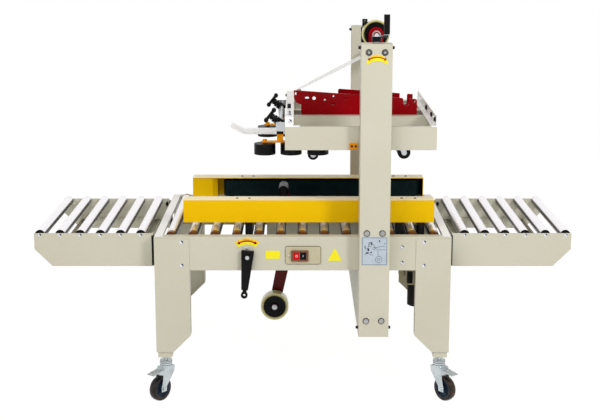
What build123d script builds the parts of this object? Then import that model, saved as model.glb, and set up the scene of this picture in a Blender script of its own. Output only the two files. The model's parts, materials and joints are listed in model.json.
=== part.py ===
from build123d import *
import math
import os

# Carton sealer with two side drive belts, millimetres.
# +X is the way the cartons travel, -Y is the operator's side, +Z is up.
# The origin is on the floor under the middle of the bed.

# Bed
bed_width = 760.0
bed_top = 632.0
bed_plate_height = 127.0
bed_flange = 37.0
bed_lower_flange = 22.0
end_beam_width = 30.0
end_beam_height = 70.0
sheet = 3.0

# Carrying rollers
roller_diameter = 38.0
roller_rise = 11.0
bed_roller_pitch = 81.0
bed_roller_count = 13
bed_end_margin = 59.0
roller_shaft_across = 9.0
tape_gap_width = 224.0
first_split_roller = -1
last_split_roller = 4
lower_rail_overhang = 6.0

# Legs and casters
leg_width = 129.0
leg_flange = 40.0
leg_bevel = 66.0
leg_foot_width = 52.0
leg_foot_height = 21.0
wheel_diameter = 95.0
wheel_width = 30.0
wheel_bore = 12.0
caster_stem_diameter = 12.0
caster_trail = 34.0
caster_turn = 52.0
fork_plate = 2.5
fork_gap = 3.0
fork_top = 128.0
race_height = 24.0
race_diameter = 46.0
stem_gap = 16.0
brake_pedal_length = 58.0

# Roller tables
table_reach = 442.0
table_width = 622.0
table_gap = 11.0
table_plate_drop = 3.0
table_plate_height = 126.0
table_bevel = 65.0
table_flange_height = 40.0
table_roller_count = 6
table_roller_first = 46.0
table_roller_last = 21.0

# Masts
mast_centre_x = 259.0
mast_width = 110.0
mast_depth = 72.0
mast_drop = 233.0
mast_above_head = 387.5
mast_side_return = 38.0
mast_bolt_across = 17.0
mast_bolt_head = 5.0
mast_bolt_spread = 56.0
mast_top_bolt_drop = 29.0
mast_bed_bolt_rise = 30.0
mast_foot_bolt_rise = 61.0
top_beam_x = 288.0
top_beam_width = 48.0
top_beam_height = 26.0
top_beam_drop = 84.0
lift_screw_diameter = 20.0

# Head frame that rises and falls
head_start = -64.0
head_end = 483.0
head_bottom = 952.5
head_side_height = 84.5
head_side_gap = 5.0
head_end_width = 31.0
head_end_rise = 37.0
head_end_plate_drop = 41.0
head_end_bolt_drop = 59.0
head_end_slot_drop = 17.0
head_end_slot_half = 24.0
head_rail_y = 100.0
head_rail_height = 50.0
carriage_height = 70.0

# Upper tape head
tape_plate_y = 60.0
tape_plate_thickness = 4.0
tape_plate_start = -33.0
tape_plate_end = 438.0
tape_plate_drop = 9.5
tape_plate_height = 188.0
tape_plate_fall = 0.0725
tape_plate_hook = 27.0
tape_plate_throat = 28.0
back_plate_drop = 14.5
back_plate_step = 139.0
arm_link_reach = 32.0
tape_roller_width = 96.0
web_bar_x = -14.0
web_bar_drop = 14.0
web_bar_diameter = 20.0
upper_front_x = 41.0
upper_front_drop = 73.5
upper_front_radius = 21.0
upper_rear_x = 393.0
upper_rear_drop = 65.5
upper_rear_radius = 25.0
front_pivot_x = 120.0
front_pivot_rise = 20.0
rear_pivot_x = 350.0
rear_pivot_rise = 75.0

# Flap ski
ski_width = 126.0
ski_rise = 8.5
ski_thickness = 3.0
ski_bend_x = -227.0
ski_tip_x = -278.0
ski_tip_rise = 25.0

# Side press rollers
press_roller_x = (-141.0, -43.0, 57.0)
press_roller_y = 212.0
press_roller_diameter = 80.0
press_roller_height = 40.0
press_roller_drop = 41.5
press_arm_thickness = 5.0
press_arm_gap = 4.0
press_post_width = 23.0
clamp_bar_x = -84.0
clamp_bar_rise = 75.5
clamp_bar_diameter = 18.0
clamp_drop = 41.0
clamp_neck_diameter = 30.0
clamp_neck_back = 13.0
clamp_neck_length = 32.0
wing_knob_angle = 38.0
wing_knob_reach = 47.0
wing_knob_stem = 20.0
wing_knob_span = 54.0
wing_knob_depth = 20.0
wing_knob_thickness = 11.0

# Tape rolls and the roll bracket on the top beam
tape_width = 48.0
web_thickness = 0.6
upper_roll_x = 280.0
upper_roll_rise = 84.0
upper_roll_diameter = 106.0
upper_hub_diameter = 84.0
hub_recess = 3.0
roll_play = 8.0
roll_guide_rise = 54.0
roll_guide_offset = 40.0
lower_roll_x = -111.0
lower_roll_drop = 247.0
lower_roll_diameter = 111.0
lower_hub_diameter = 88.0
roll_pin_diameter = 12.0

# Height crank on the front mast
crank_hub_rise = 10.0
crank_arm_reach = 76.0
crank_arm_turn = 58.0
crank_grip_diameter = 22.0
crank_grip_length = 69.0

# Side belt units
cover_start = -446.0
cover_tail = 47.5
cover_rise = 25.0
cover_height = 85.0
cover_inner_y = 182.0
cover_depth = 72.0
cover_sheet = 2.5
belt_front_x = -290.0
belt_drum_diameter = 54.0
belt_height = 62.0
belt_thickness = 4.0
nose_length = 100.0
belt_leg_width = 28.0
motor_y = 218.0
motor_diameter = 90.0
motor_drop = 176.0
motor_height = 170.0
drive_column_diameter = 30.0

# Cross screw, guide rods and the width crank
width_screw_drop = 72.0
width_screw_diameter = 18.0
guide_rod_drops = (38.0, 97.0)
guide_rod_diameter = 14.0
width_crank_length = 145.0
width_crank_tilt = 5.0
width_crank_hub_radius = 23.8
width_crank_tip_radius = 12.5
width_crank_thickness = 14.0
width_crank_stand_off = 8.0
width_crank_bore_depth = 6.0

# Switch
switch_left = -63.0
switch_right = 66.0
switch_drop = 36.0
switch_height = 66.0
switch_frame_left = -42.0
switch_frame_width = 63.0
switch_frame_height = 40.0
switch_frame_rise = 12.0
switch_rim = 8.0

# Lower tape head
lower_front_offset = 7.0
lower_front_rise = 103.0
lower_front_radius = 20.0
lower_rear_offset = -46.0
lower_rear_rise = 95.0
lower_rear_radius = 22.0
lower_hook_rise = 80.0
lower_pivot_rise = 36.0
lower_arm_width = 55.0
lower_arm_top_x = -55.0

# Clearances
running_gap = 0.05
moving_gap = 5.0
seat_gap = 0.4

bed_half = bed_roller_pitch * (bed_roller_count - 1) / 2 + bed_end_margin
side_y = bed_width / 2
bed_bottom = bed_top - bed_plate_height
foot_bottom = fork_top + race_height + stem_gap
leg_bottom = foot_bottom + leg_foot_height
table_plate_top = bed_top - table_plate_drop
mast_bottom = bed_bottom - mast_drop
mast_top = head_bottom + mast_above_head
mast_bolt_heights = (mast_top - mast_top_bolt_drop, bed_top + mast_bed_bolt_rise, mast_bottom + mast_foot_bolt_rise)
top_beam_top = mast_top - top_beam_drop
roller_axis_z = bed_top + roller_rise - roller_diameter / 2
bed_roller_half = side_y - bed_flange - seat_gap
tape_gap_start = (first_split_roller - 1) * bed_roller_pitch + roller_diameter / 2 + moving_gap
tape_gap_end = last_split_roller * bed_roller_pitch + lower_rail_overhang
mast_left = mast_centre_x - mast_width / 2
mast_right = mast_centre_x + mast_width / 2
mast_outer_y = side_y + mast_depth
screw_y = side_y + mast_depth / 2
head_side_y = side_y - head_side_gap
head_side_top = head_bottom + head_side_height
head_end_top = head_side_top + head_end_rise
head_end_plate_bottom = head_side_top - head_end_plate_drop
tape_plate_bottom = head_bottom - tape_plate_drop
tape_plate_top = tape_plate_bottom + tape_plate_height
web_bar = (web_bar_x, tape_plate_top - web_bar_drop, web_bar_diameter)
upper_front_roller = (upper_front_x, head_bottom - upper_front_drop, upper_front_radius)
upper_rear_roller = (upper_rear_x, head_bottom - upper_rear_drop, upper_rear_radius)
front_pivot = (front_pivot_x, tape_plate_bottom + front_pivot_rise)
rear_pivot = (rear_pivot_x, tape_plate_bottom + rear_pivot_rise)
ski_height = head_bottom + ski_rise
clamp_bar_z = head_bottom + clamp_bar_rise
upper_roll_z = top_beam_top + upper_roll_rise
lower_roll_z = bed_bottom - lower_roll_drop
crank_hub_z = mast_top + crank_hub_rise
cover_bottom = bed_top + cover_rise
motor_bottom = bed_bottom - motor_drop
width_screw_z = bed_top - width_screw_drop
guide_rod_heights = tuple(bed_top - drop for drop in guide_rod_drops)
switch_top = bed_top - switch_drop
switch_bottom = switch_top - switch_height
lower_hook_top = bed_top + lower_hook_rise
lower_arm_pivot_z = bed_top + lower_pivot_rise
table_y = table_width / 2
table_start = bed_half + table_gap
table_end = table_start + table_reach
table_plate_bottom = table_plate_top - table_plate_height
head_rail_top = head_side_top
head_rail_bottom = head_rail_top - head_rail_height
press_roller_bottom = head_bottom - press_roller_drop
press_arm_bottom = press_roller_bottom + press_roller_height + press_arm_gap
clamp_bottom = clamp_bar_z - clamp_drop
width_screw_x = -2.5 * bed_roller_pitch
guide_rod_x = 4.5 * bed_roller_pitch
motor_x = 5.5 * bed_roller_pitch
belt_back_x = motor_x
cover_end = motor_x + cover_tail
lower_front_x = first_split_roller * bed_roller_pitch + lower_front_offset
lower_rear_x = last_split_roller * bed_roller_pitch + lower_rear_offset
lower_front_roller = (lower_front_x, bed_top + lower_front_rise, lower_front_radius)
lower_rear_roller = (lower_rear_x, bed_top + lower_rear_rise, lower_rear_radius)
cover_outer_y = cover_inner_y + cover_depth
cover_top = cover_bottom + cover_height
belt_y = cover_inner_y + belt_thickness + belt_drum_diameter / 2
belt_bottom = cover_bottom + (cover_height - belt_height) / 2
crank_grip_x = mast_centre_x + crank_arm_reach * math.cos(math.radians(crank_arm_turn))
crank_grip_y = -screw_y + crank_arm_reach * math.sin(math.radians(crank_arm_turn))


def block(x0, x1, y0, y1, z0, z1):
    """A box between two values on each axis."""
    return Pos((x0 + x1) / 2, (y0 + y1) / 2, (z0 + z1) / 2) * Box(abs(x1 - x0), abs(y1 - y0), abs(z1 - z0))


def rod_z(x, y, z0, z1, diameter):
    return Pos(x, y, (z0 + z1) / 2) * Cylinder(diameter / 2, abs(z1 - z0))


def rod_y(x, z, y0, y1, diameter):
    return Pos(x, (y0 + y1) / 2, z) * Rot(90, 0, 0) * Cylinder(diameter / 2, abs(y1 - y0))


def rod_x(y, z, x0, x1, diameter):
    return Pos((x0 + x1) / 2, y, z) * Rot(0, 90, 0) * Cylinder(diameter / 2, abs(x1 - x0))


def plate_y(points, y0, thickness):
    """A plate cut to an outline of X and Z points, from y0 towards +Y."""
    face = make_face(Polyline(*points, close=True))
    return extrude(Plane.XZ.offset(-y0) * face, -thickness)


def plate_z(points, z0, thickness):
    """A plate cut to an outline of X and Y points, from z0 upwards."""
    face = make_face(Polyline(*points, close=True))
    return extrude(Plane.XY.offset(z0) * face, thickness)


def hex_rod_y(x, z, y0, y1, across):
    """A six-sided bar along Y, measured across its flats."""
    plane = Plane(origin=(x, y0, z), x_dir=(1, 0, 0), z_dir=(0, 1, 0))
    return extrude(plane * RegularPolygon(across / 2, 6, major_radius=False), y1 - y0)


def joined(shapes):
    """One shape fused from several."""
    whole = shapes[0]
    for shape in shapes[1:]:
        whole += shape
    return whole


def mirrored_x(shape):
    return mirror(shape, about=Plane.YZ)


def mirrored_y(shape):
    return mirror(shape, about=Plane.XZ)


def as_solid(shape):
    """One solid, or a compound where the piece is really several."""
    solids = shape.solids()
    if len(solids) == 1:
        return solids[0]
    return Compound(children=solids)


def bed_roller_places():
    """Each roller's number, counted from the middle of the bed, and its place."""
    middle = bed_roller_count // 2
    return [(i - middle, (i - middle) * bed_roller_pitch) for i in range(bed_roller_count)]


def table_roller_places():
    step = (table_reach - table_roller_first - table_roller_last) / (table_roller_count - 1)
    return [table_start + table_roller_first + i * step for i in range(table_roller_count)]


def carrying_roller(x, z, y0, y1, shaft_start, shaft_end):
    """A tube roller on a six-sided shaft."""
    roller = rod_y(x, z, y0, y1, roller_diameter)
    roller += hex_rod_y(x, z, shaft_start, y0, roller_shaft_across)
    return roller + hex_rod_y(x, z, y1, shaft_end, roller_shaft_across)


# Bed

def bed_side_front():
    """A folded channel: web outside, a wide top flange and a narrow lower one."""
    web = block(-bed_half, bed_half, -side_y, -side_y + sheet, bed_bottom, bed_top)
    inner = bed_half - end_beam_width
    top = block(-inner, inner, -side_y, -side_y + bed_flange, bed_top - sheet, bed_top)
    low = block(-inner, inner, -side_y, -side_y + bed_lower_flange, bed_bottom, bed_bottom + sheet)
    side = web + top + low
    fold = side.edges().filter_by(Axis.X).filter_by(
        lambda e: abs(e.center().Y + side_y) < 0.1 and abs(e.center().Z - bed_top) < 0.1)
    side = fillet(fold, 2.0)
    side -= rod_y(width_screw_x, width_screw_z, -side_y - 1, -side_y + sheet + 1, width_screw_diameter + 2)
    return as_solid(side)


def bed_end_discharge():
    """The cross beam that closes the bed at its discharge end."""
    reach = side_y - sheet
    x0 = bed_half - end_beam_width
    beam = block(x0, bed_half, -reach, reach, bed_top - end_beam_height, bed_top)
    beam -= block(x0 - 1, bed_half - sheet, -reach + sheet, reach - sheet,
                  bed_top - end_beam_height - 1, bed_top - sheet)
    fold = beam.edges().filter_by(Axis.Y).filter_by(
        lambda e: abs(e.center().X - bed_half) < 0.1 and abs(e.center().Z - bed_top) < 0.1)
    return as_solid(fillet(fold, 2.0))


def bed_rollers():
    """A row of rollers, split in two where the lower tape head stands between them."""
    half_gap = tape_gap_width / 2
    wall = side_y - sheet
    rail = head_rail_y + sheet
    rollers = []
    for number, x in bed_roller_places():
        if first_split_roller <= number <= last_split_roller:
            rollers.append(carrying_roller(x, roller_axis_z, -bed_roller_half, -half_gap, -wall, -rail))
            rollers.append(carrying_roller(x, roller_axis_z, half_gap, bed_roller_half, rail, wall))
        else:
            rollers.append(carrying_roller(x, roller_axis_z, -bed_roller_half, bed_roller_half, -wall, wall))
    return as_solid(joined(rollers))


# Legs and casters

def leg_discharge_front():
    """A channel leg, open inward, with a bevelled foot and a short square tube under it."""
    x1 = bed_half
    x0 = bed_half - leg_width
    y0 = -side_y - sheet
    outline = [(x0, bed_bottom), (x0, leg_bottom + leg_bevel), (x0 + leg_bevel, leg_bottom),
               (x1, leg_bottom), (x1, bed_top - 6), (x0 + 6, bed_top - 6), (x0, bed_top - 12)]
    web = plate_y(outline, y0, sheet)
    depth = leg_flange
    slope = leg_bevel * math.sqrt(2)
    outer = block(x1 - sheet, x1, y0, -side_y + depth, leg_bottom, bed_bottom - seat_gap)
    inner = block(x0, x0 + sheet, y0, -side_y + depth, leg_bottom + leg_bevel, bed_bottom - seat_gap)
    sole = block(x0 + leg_bevel, x1, y0, -side_y + depth, leg_bottom, leg_bottom + sheet)
    bevel = Pos(x0 + leg_bevel / 2, -side_y + (depth - sheet) / 2, leg_bottom + leg_bevel / 2)
    bevel = bevel * Rot(0, 45, 0) * Pos(0, 0, sheet / 2) * Box(slope, depth + sheet, sheet)
    leg = web + outer + inner + sole + bevel
    foot_x = (x0 + leg_bevel + x1) / 2
    foot = block(foot_x - leg_foot_width / 2, foot_x + leg_foot_width / 2,
                 -side_y + 1, -side_y + 1 + leg_foot_width, leg_bottom - leg_foot_height, leg_bottom)
    leg += foot
    leg -= rod_z(foot_x, caster_y_front(), leg_bottom - leg_foot_height - 1, leg_bottom + sheet + 1,
                 caster_stem_diameter)
    return as_solid(leg)


def caster_x():
    return (bed_half - leg_width + leg_bevel + bed_half) / 2


def caster_y_front():
    return -side_y + 1 + leg_foot_width / 2


def caster_fork(x, y, turn):
    """A swivel fork with its stem, bearing head and brake pedal, turned about its stem."""
    half = wheel_width / 2 + fork_gap
    trail = caster_trail
    wheel_z = wheel_diameter / 2
    cheek = make_face(Polyline((-26, fork_top), (26, fork_top), (trail + 13, wheel_z + 6),
                               (trail + 13, wheel_z - 10), (trail - 13, wheel_z - 10),
                               (trail - 15, wheel_z + 8), (-22, fork_top - 22), close=True))
    left = extrude(Plane.XZ.offset(-half) * cheek, -fork_plate)
    right = extrude(Plane.XZ.offset(half + fork_plate) * cheek, -fork_plate)
    crown = block(-24, 24, -half - fork_plate, half + fork_plate, fork_top - 3, fork_top)
    race = rod_z(0, 0, fork_top, fork_top + race_height, race_diameter)
    stem = rod_z(0, 0, fork_top, foot_bottom + leg_foot_height, caster_stem_diameter - 2 * running_gap)
    nut = Pos(0, 0, foot_bottom - 8) * extrude(RegularPolygon(11, 6), 7)
    axle = rod_y(trail, wheel_z, -half - fork_plate - 4, half + fork_plate + 4, wheel_bore - 2 * running_gap)
    pedal = block(22, 28 + brake_pedal_length, -17, 17, fork_top - 9, fork_top - 6)
    pedal = Pos(25, 0, fork_top - 8) * Rot(0, 8, 0) * Pos(-25, 0, 8 - fork_top) * pedal
    hinge = block(18, 30, -half - fork_plate, half + fork_plate, fork_top - 14, fork_top - 3)
    fork = left + right + crown + race + stem + nut + axle + pedal + hinge
    return as_solid(Pos(x, y, 0) * Rot(0, 0, turn) * fork)


def caster_wheel(x, y, turn):
    """A solid wheel with a bored hub."""
    wheel = Cylinder(wheel_diameter / 2, wheel_width) - Cylinder(wheel_bore / 2, wheel_width + 2)
    wheel = Pos(caster_trail, 0, wheel_diameter / 2) * Rot(90, 0, 0) * wheel
    return as_solid(Pos(x, y, 0) * Rot(0, 0, turn) * wheel)


# Roller tables

def table_frame_discharge():
    """Two bevelled side plates with flanges, joined by two cross bars and a hook plate."""
    x0 = table_start
    x1 = table_end
    top = table_plate_top
    low = table_plate_bottom
    flange = low + table_flange_height
    outline = [(x0, low), (x1 - table_bevel, low), (x1, low + table_bevel), (x1, top), (x0, top)]
    side = plate_y(outline, -table_y, sheet)
    side += block(x0, x1 - table_bevel, -table_y, -table_y + 12, flange, flange + sheet)
    side += block(x0, x0 + sheet, -table_y, -table_y + 20, low, top)
    bars = []
    for x in (x0 + 40, x1 - 100):
        bar = block(x, x + 30, -table_y + sheet, table_y - sheet, low + 20, flange)
        bar -= block(x + sheet, x + 27, -table_y, table_y, low + 20 + sheet, flange + 1)
        bars.append(bar)
    hook = block(bed_half, x0, -table_y + 20, table_y - 20, low + 60, low + 80)
    hook += block(x0, x0 + sheet, -table_y, table_y, low + 50, low + 90)
    return as_solid(side + mirrored_y(side) + joined(bars) + hook)


def table_rollers_discharge():
    """Six rollers on fixed shafts between the table's side plates."""
    wall = table_y - sheet
    half = wall - 4
    z = roller_axis_z - sheet
    return as_solid(joined([carrying_roller(x, z, -half, half, -wall, wall) for x in table_roller_places()]))


# Masts

def mast_front():
    """A channel mast, open towards the bed, with a folded lip down each side."""
    y0 = -mast_outer_y
    mast = block(mast_left, mast_right, y0, -side_y - sheet, mast_bottom, mast_top)
    mast -= block(mast_left + sheet, mast_right - sheet, y0 + sheet, -side_y, mast_bottom + sheet,
                  mast_top - sheet)
    for x0, x1 in ((mast_left, mast_left + mast_side_return), (mast_right - mast_side_return, mast_right)):
        mast += block(x0, x1, -side_y - 2 * sheet, -side_y - sheet, mast_bottom, mast_top)
    upright = mast.edges().filter_by(Axis.Z).filter_by(lambda e: abs(e.center().Y - y0) < 0.1)
    mast = fillet(upright, 2.5)
    hole = rod_z(mast_centre_x, -screw_y, mast_bottom - 1, mast_top + 1, lift_screw_diameter + 2 * running_gap)
    mast -= hole
    pad = block(mast_left, mast_right, -side_y - sheet, -side_y, bed_bottom, bed_top)
    return as_solid(mast + pad)


def mast_base():
    """The channel under the bed that ties both masts together."""
    reach = side_y - seat_gap
    base = block(mast_left, mast_right, -reach - sheet, reach + sheet, mast_bottom, bed_bottom - seat_gap)
    base -= block(mast_left + sheet, mast_right - sheet, -side_y - 9, side_y + 9, mast_bottom + sheet,
                  bed_bottom - sheet)
    base = base & block(mast_left, mast_right, -side_y - sheet, side_y + sheet, mast_bottom, bed_bottom)
    return as_solid(base)


def mast_top_beam():
    """The hollow beam that joins the mast tops, with a lug at each end."""
    x0 = top_beam_x - top_beam_width / 2
    x1 = top_beam_x + top_beam_width / 2
    z0 = top_beam_top - top_beam_height
    reach = side_y + 2 * sheet
    beam = block(x0, x1, -side_y - sheet, side_y + sheet, z0, top_beam_top)
    beam -= block(x0 + sheet, x1 - sheet, -reach, reach, z0 + sheet, top_beam_top - sheet)
    return as_solid(beam)


def lift_screw(side):
    """A lift screw that hangs by a collar under the mast's top plate."""
    y = side * screw_y
    top = crank_hub_z - 4 if side < 0 else mast_top + 8
    screw = rod_z(mast_centre_x, y, mast_bottom - 8, top, lift_screw_diameter)
    screw += rod_z(mast_centre_x, y, mast_top - sheet - 12, mast_top - sheet, 34)
    return screw


def mast_bolts_front():
    """The bolt heads on the front mast's face."""
    y0 = -mast_outer_y - mast_bolt_head
    half = mast_bolt_spread / 2
    places = [(mast_centre_x + side * half, z) for z in mast_bolt_heights for side in (-1, 1)]
    return [hex_rod_y(x, z, y0, -mast_outer_y, mast_bolt_across) for x, z in places]


def lift_screws():
    """Both lift screws with the bolt heads of both masts."""
    bolts = mast_bolts_front()
    return as_solid(joined([lift_screw(-1), lift_screw(1)] + bolts + [mirrored_y(bolt) for bolt in bolts]))


# Head frame

def head_side_front():
    """A folded channel with its flanges inward, holding the lift block beside the mast."""
    y0 = -head_side_y
    side = block(head_start, head_end, y0, y0 + sheet, head_bottom, head_side_top)
    x0 = head_start + sheet + seat_gap
    x1 = head_end - sheet - seat_gap
    side += block(x0, x1, y0, y0 + 26, head_bottom, head_bottom + sheet)
    side += block(x0, x1, y0, y0 + 26, head_side_top - sheet, head_side_top)
    return as_solid(side)


def head_end_infeed():
    """The cross beam at the infeed end: a channel with a rounded top and a toe on each side."""
    x0 = head_start
    x1 = head_start + head_end_width
    reach = head_side_y
    beam = block(x0, x1, -reach, reach, head_side_top, head_end_top)
    beam -= block(x0 + sheet, x1 + 1, -reach - 1, reach + 1, head_side_top + sheet, head_end_top - sheet)
    beam += block(x0, x0 + sheet, -reach + sheet + seat_gap, reach - sheet - seat_gap,
                  head_end_plate_bottom, head_side_top)
    fold = beam.edges().filter_by(Axis.Y).filter_by(
        lambda e: abs(e.center().X - x0) < 0.1 and abs(e.center().Z - head_end_top) < 0.1)
    beam = fillet(fold, 2.0)
    toe = block(x0, x1 + 22, -reach, -reach + 26, head_side_top, head_side_top + sheet)
    toe += block(x0, x1, -reach, -reach + sheet, head_side_top, head_end_top - 2)
    beam += toe + mirrored_y(toe)
    for y in (-reach + 20, reach - 20):
        beam -= rod_x(y, head_end_top - 16, x0 - 1, x0 + sheet + 1, 8)
    return as_solid(beam)


def head_end_discharge():
    """The cross plate at the discharge end, with bolt holes and adjusting slots."""
    x1 = head_end
    reach = head_side_y
    plate = block(x1 - sheet, x1, -reach + sheet + seat_gap, reach - sheet - seat_gap,
                  head_end_plate_bottom, head_side_top)
    plate += block(x1 - sheet, x1, -reach, reach, head_side_top, head_end_top)
    plate += block(x1 - 20, x1, -reach, reach, head_side_top, head_side_top + sheet)
    for y in (-291.0, -81.0, 81.0, 291.0):
        plate -= rod_x(y, head_end_top - head_end_bolt_drop, x1 - 5, x1 + 1, 9)
    z = head_end_top - head_end_slot_drop
    for y in (-267.0, 267.0):
        for end in (y - head_end_slot_half, y + head_end_slot_half):
            plate -= rod_x(end, z, x1 - 5, x1 + 1, 8)
        plate -= block(x1 - 5, x1 + 1, y - head_end_slot_half, y + head_end_slot_half, z - 4, z + 4)
    return as_solid(plate)


def head_rail_front():
    """An inner channel rail with its top flange towards the tape head."""
    x0 = head_start + sheet
    x1 = head_end - sheet
    rail = block(x0, x1, -head_rail_y - sheet, -head_rail_y, head_rail_bottom, head_rail_top - seat_gap)
    rail += block(x0, x1, -head_rail_y, -tape_plate_y - tape_plate_thickness, head_rail_top - seat_gap - sheet,
                  head_rail_top - seat_gap)
    rail += block(x0, x1, -head_rail_y - sheet - 14, -head_rail_y, head_rail_bottom, head_rail_bottom + sheet)
    return rail


def head_rails():
    rail = head_rail_front()
    return as_solid(rail + mirrored_y(rail))


def lift_carriage_front():
    """A block on the lift screw, with a neck that leaves the mast to the head side."""
    half = mast_width / 2 - sheet - moving_gap
    neck = mast_width / 2 - mast_side_return - moving_gap
    z0 = head_bottom + (head_side_height - carriage_height) / 2
    z1 = z0 + carriage_height
    outer = -mast_outer_y + sheet + moving_gap
    inner = -side_y - 2 * sheet - moving_gap
    body = block(mast_centre_x - half, mast_centre_x + half, outer, inner, z0, z1)
    body = chamfer(body.edges().filter_by(Axis.Z), 4.0)
    body += block(mast_centre_x - neck, mast_centre_x + neck, inner, -head_side_y, z0, z1)
    bore = lift_screw_diameter / 2 + running_gap
    body -= Pos(mast_centre_x, -screw_y, (z0 + z1) / 2) * Cylinder(bore, carriage_height + 2)
    return body


def lift_carriages():
    front = lift_carriage_front()
    return as_solid(front + mirrored_y(front))


def guide_block_front():
    """A small stop block on the head side just beside the mast."""
    x1 = mast_left + 4
    block_left = block(x1 - 40, x1 - 9, -head_side_y - 9, -head_side_y, head_bottom + 5, head_bottom + 27)
    return chamfer(block_left.edges().filter_by(Axis.Y), 3.0)


def guide_blocks():
    front = guide_block_front()
    return as_solid(front + mirrored_y(front))


# Upper tape head

def tape_plate_line(x):
    """The height of the front plate's sloping top edge."""
    return tape_plate_top - tape_plate_fall * (x - tape_plate_start)


def tape_plate_tail(drop):
    """The points and the notch of a plate's rear end, from the notch round to the bottom."""
    x1 = tape_plate_end
    notch = (x1 - 53, x1 - 29)
    floor = tape_plate_line(notch[0]) - drop - 19
    Polyline((notch[0] - 4, tape_plate_line(notch[0] - 4) - drop), (notch[0], floor + 15), (notch[0], floor))
    RadiusArc((notch[0], floor), (notch[1], floor), -12.5)
    Polyline((notch[1], floor), (notch[1], tape_plate_line(notch[1]) - drop),
             (x1 - 6, tape_plate_line(x1 - 6) - drop), (x1, tape_plate_line(x1) - drop - 6),
             (x1, tape_plate_bottom + 30), (x1 - 30, tape_plate_bottom),
             (tape_plate_start + tape_plate_throat + 20, tape_plate_bottom),
             (tape_plate_start + tape_plate_throat, tape_plate_bottom + 20))


def front_plate_face():
    """The front red plate: a sloping top, a hooked front corner and a notch at the rear."""
    x0 = tape_plate_start
    throat = x0 + tape_plate_throat
    hook = tape_plate_top - tape_plate_hook
    last = tape_plate_end - 57
    with BuildLine() as line:
        Polyline((x0, hook), (x0, tape_plate_top), (last, tape_plate_line(last)))
        tape_plate_tail(0)
        Polyline((throat, tape_plate_bottom + 20), (throat, hook - 27))
        RadiusArc((throat, hook - 27), (x0, hook), 30)
    return make_face(line.line)


def back_plate_face():
    """The back red plate: lower, without the hook, and stepped down over its front part."""
    throat = tape_plate_start + tape_plate_throat
    low = tape_plate_top - tape_plate_hook - 29
    step = back_plate_step
    last = tape_plate_end - 57
    with BuildLine() as line:
        Polyline((throat, tape_plate_bottom + 20), (throat, low), (step - 8, low), (step, low + 8),
                 (step, tape_plate_line(step) - back_plate_drop), (last, tape_plate_line(last) - back_plate_drop))
        tape_plate_tail(back_plate_drop)
    return make_face(line.line)


def tape_plate_holes():
    """Round holes and short slots: X, depth under the top edge, diameter and slot length."""
    return ((-25.0, 12.6, 10.0, 0.0), (13.0, 25.7, 7.0, 8.0), (44.0, 25.4, 13.0, 0.0),
            (85.0, 29.4, 8.0, 0.0), (118.0, 12.0, 6.0, 0.0), (115.0, 42.3, 6.0, 6.0),
            (161.0, 18.9, 7.0, 6.0), (424.0, 10.9, 7.0, 4.0))


def upper_plate_front():
    y0 = -tape_plate_y
    plate = extrude(Plane.XZ.offset(-y0) * front_plate_face(), tape_plate_thickness)
    for x, depth, d, slot in tape_plate_holes():
        z = tape_plate_line(x) - depth
        plate -= rod_y(x, z, y0 - 9, y0 + 5, d)
        if slot > 0:
            plate -= rod_y(x + slot, z, y0 - 9, y0 + 5, d)
            plate -= block(x, x + slot, y0 - 9, y0 + 5, z - d / 2, z + d / 2)
    return plate


def upper_plate_back():
    return extrude(Plane.XZ.offset(-tape_plate_y) * back_plate_face(), -tape_plate_thickness)


def link_bar(x0, z0, x1, z1, y, thickness):
    """A flat bar with round ends between two pins."""
    length = math.hypot(x1 - x0, z1 - z0)
    nx = -(z1 - z0) / length * 7
    nz = (x1 - x0) / length * 7
    bar = plate_y([(x0 + nx, z0 + nz), (x0 - nx, z0 - nz), (x1 - nx, z1 - nz), (x1 + nx, z1 + nz)], y, thickness)
    return bar + rod_y(x0, z0, y, y + thickness, 14) + rod_y(x1, z1, y, y + thickness, 14)


def tape_arm(x, z, pivot_x, pivot_z, y, thickness):
    """A swing arm from a pivot on the plates out to a roller or a pin."""
    dx = x - pivot_x
    dz = z - pivot_z
    length = math.hypot(dx, dz)
    nx = -dz / length
    nz = dx / length
    wide = 15.0
    slim = 10.0
    arm = plate_y([(pivot_x + nx * wide, pivot_z + nz * wide), (pivot_x - nx * wide, pivot_z - nz * wide),
                   (x - nx * slim, z - nz * slim), (x + nx * slim, z + nz * slim)], y, thickness)
    arm += rod_y(pivot_x, pivot_z, y, y + thickness, wide * 2)
    arm += rod_y(x, z, y, y + thickness, slim * 2)
    return arm


def cross_bars():
    """The bars between the side plates: two pivots for the swing arms and two spacers."""
    rise = tape_plate_bottom
    return ((front_pivot[0], front_pivot[1], 16.0), (rear_pivot[0], rear_pivot[1], 16.0),
            (60.0, rise + 95, 16.0), (230.0, rise + 125, 16.0))


def upper_head_plates():
    """Both side plates, the cross bars between them and the bar that the tape passes over."""
    plates = upper_plate_front() + upper_plate_back()
    for x, z, d in cross_bars():
        plates += rod_y(x, z, -tape_plate_y, tape_plate_y, d)
    x, z, d = web_bar
    plates += rod_y(x, z, -tape_plate_y, tape_width / 2 + 4, d)
    return as_solid(plates)


def link_pin(pivot, roller):
    """The link's pin on a swing arm's short end, past the pivot from the roller."""
    dx = pivot[0] - roller[0]
    dz = pivot[1] - roller[1]
    scale = arm_link_reach / math.hypot(dx, dz)
    return pivot[0] + dx * scale, pivot[1] + dz * scale


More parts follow.
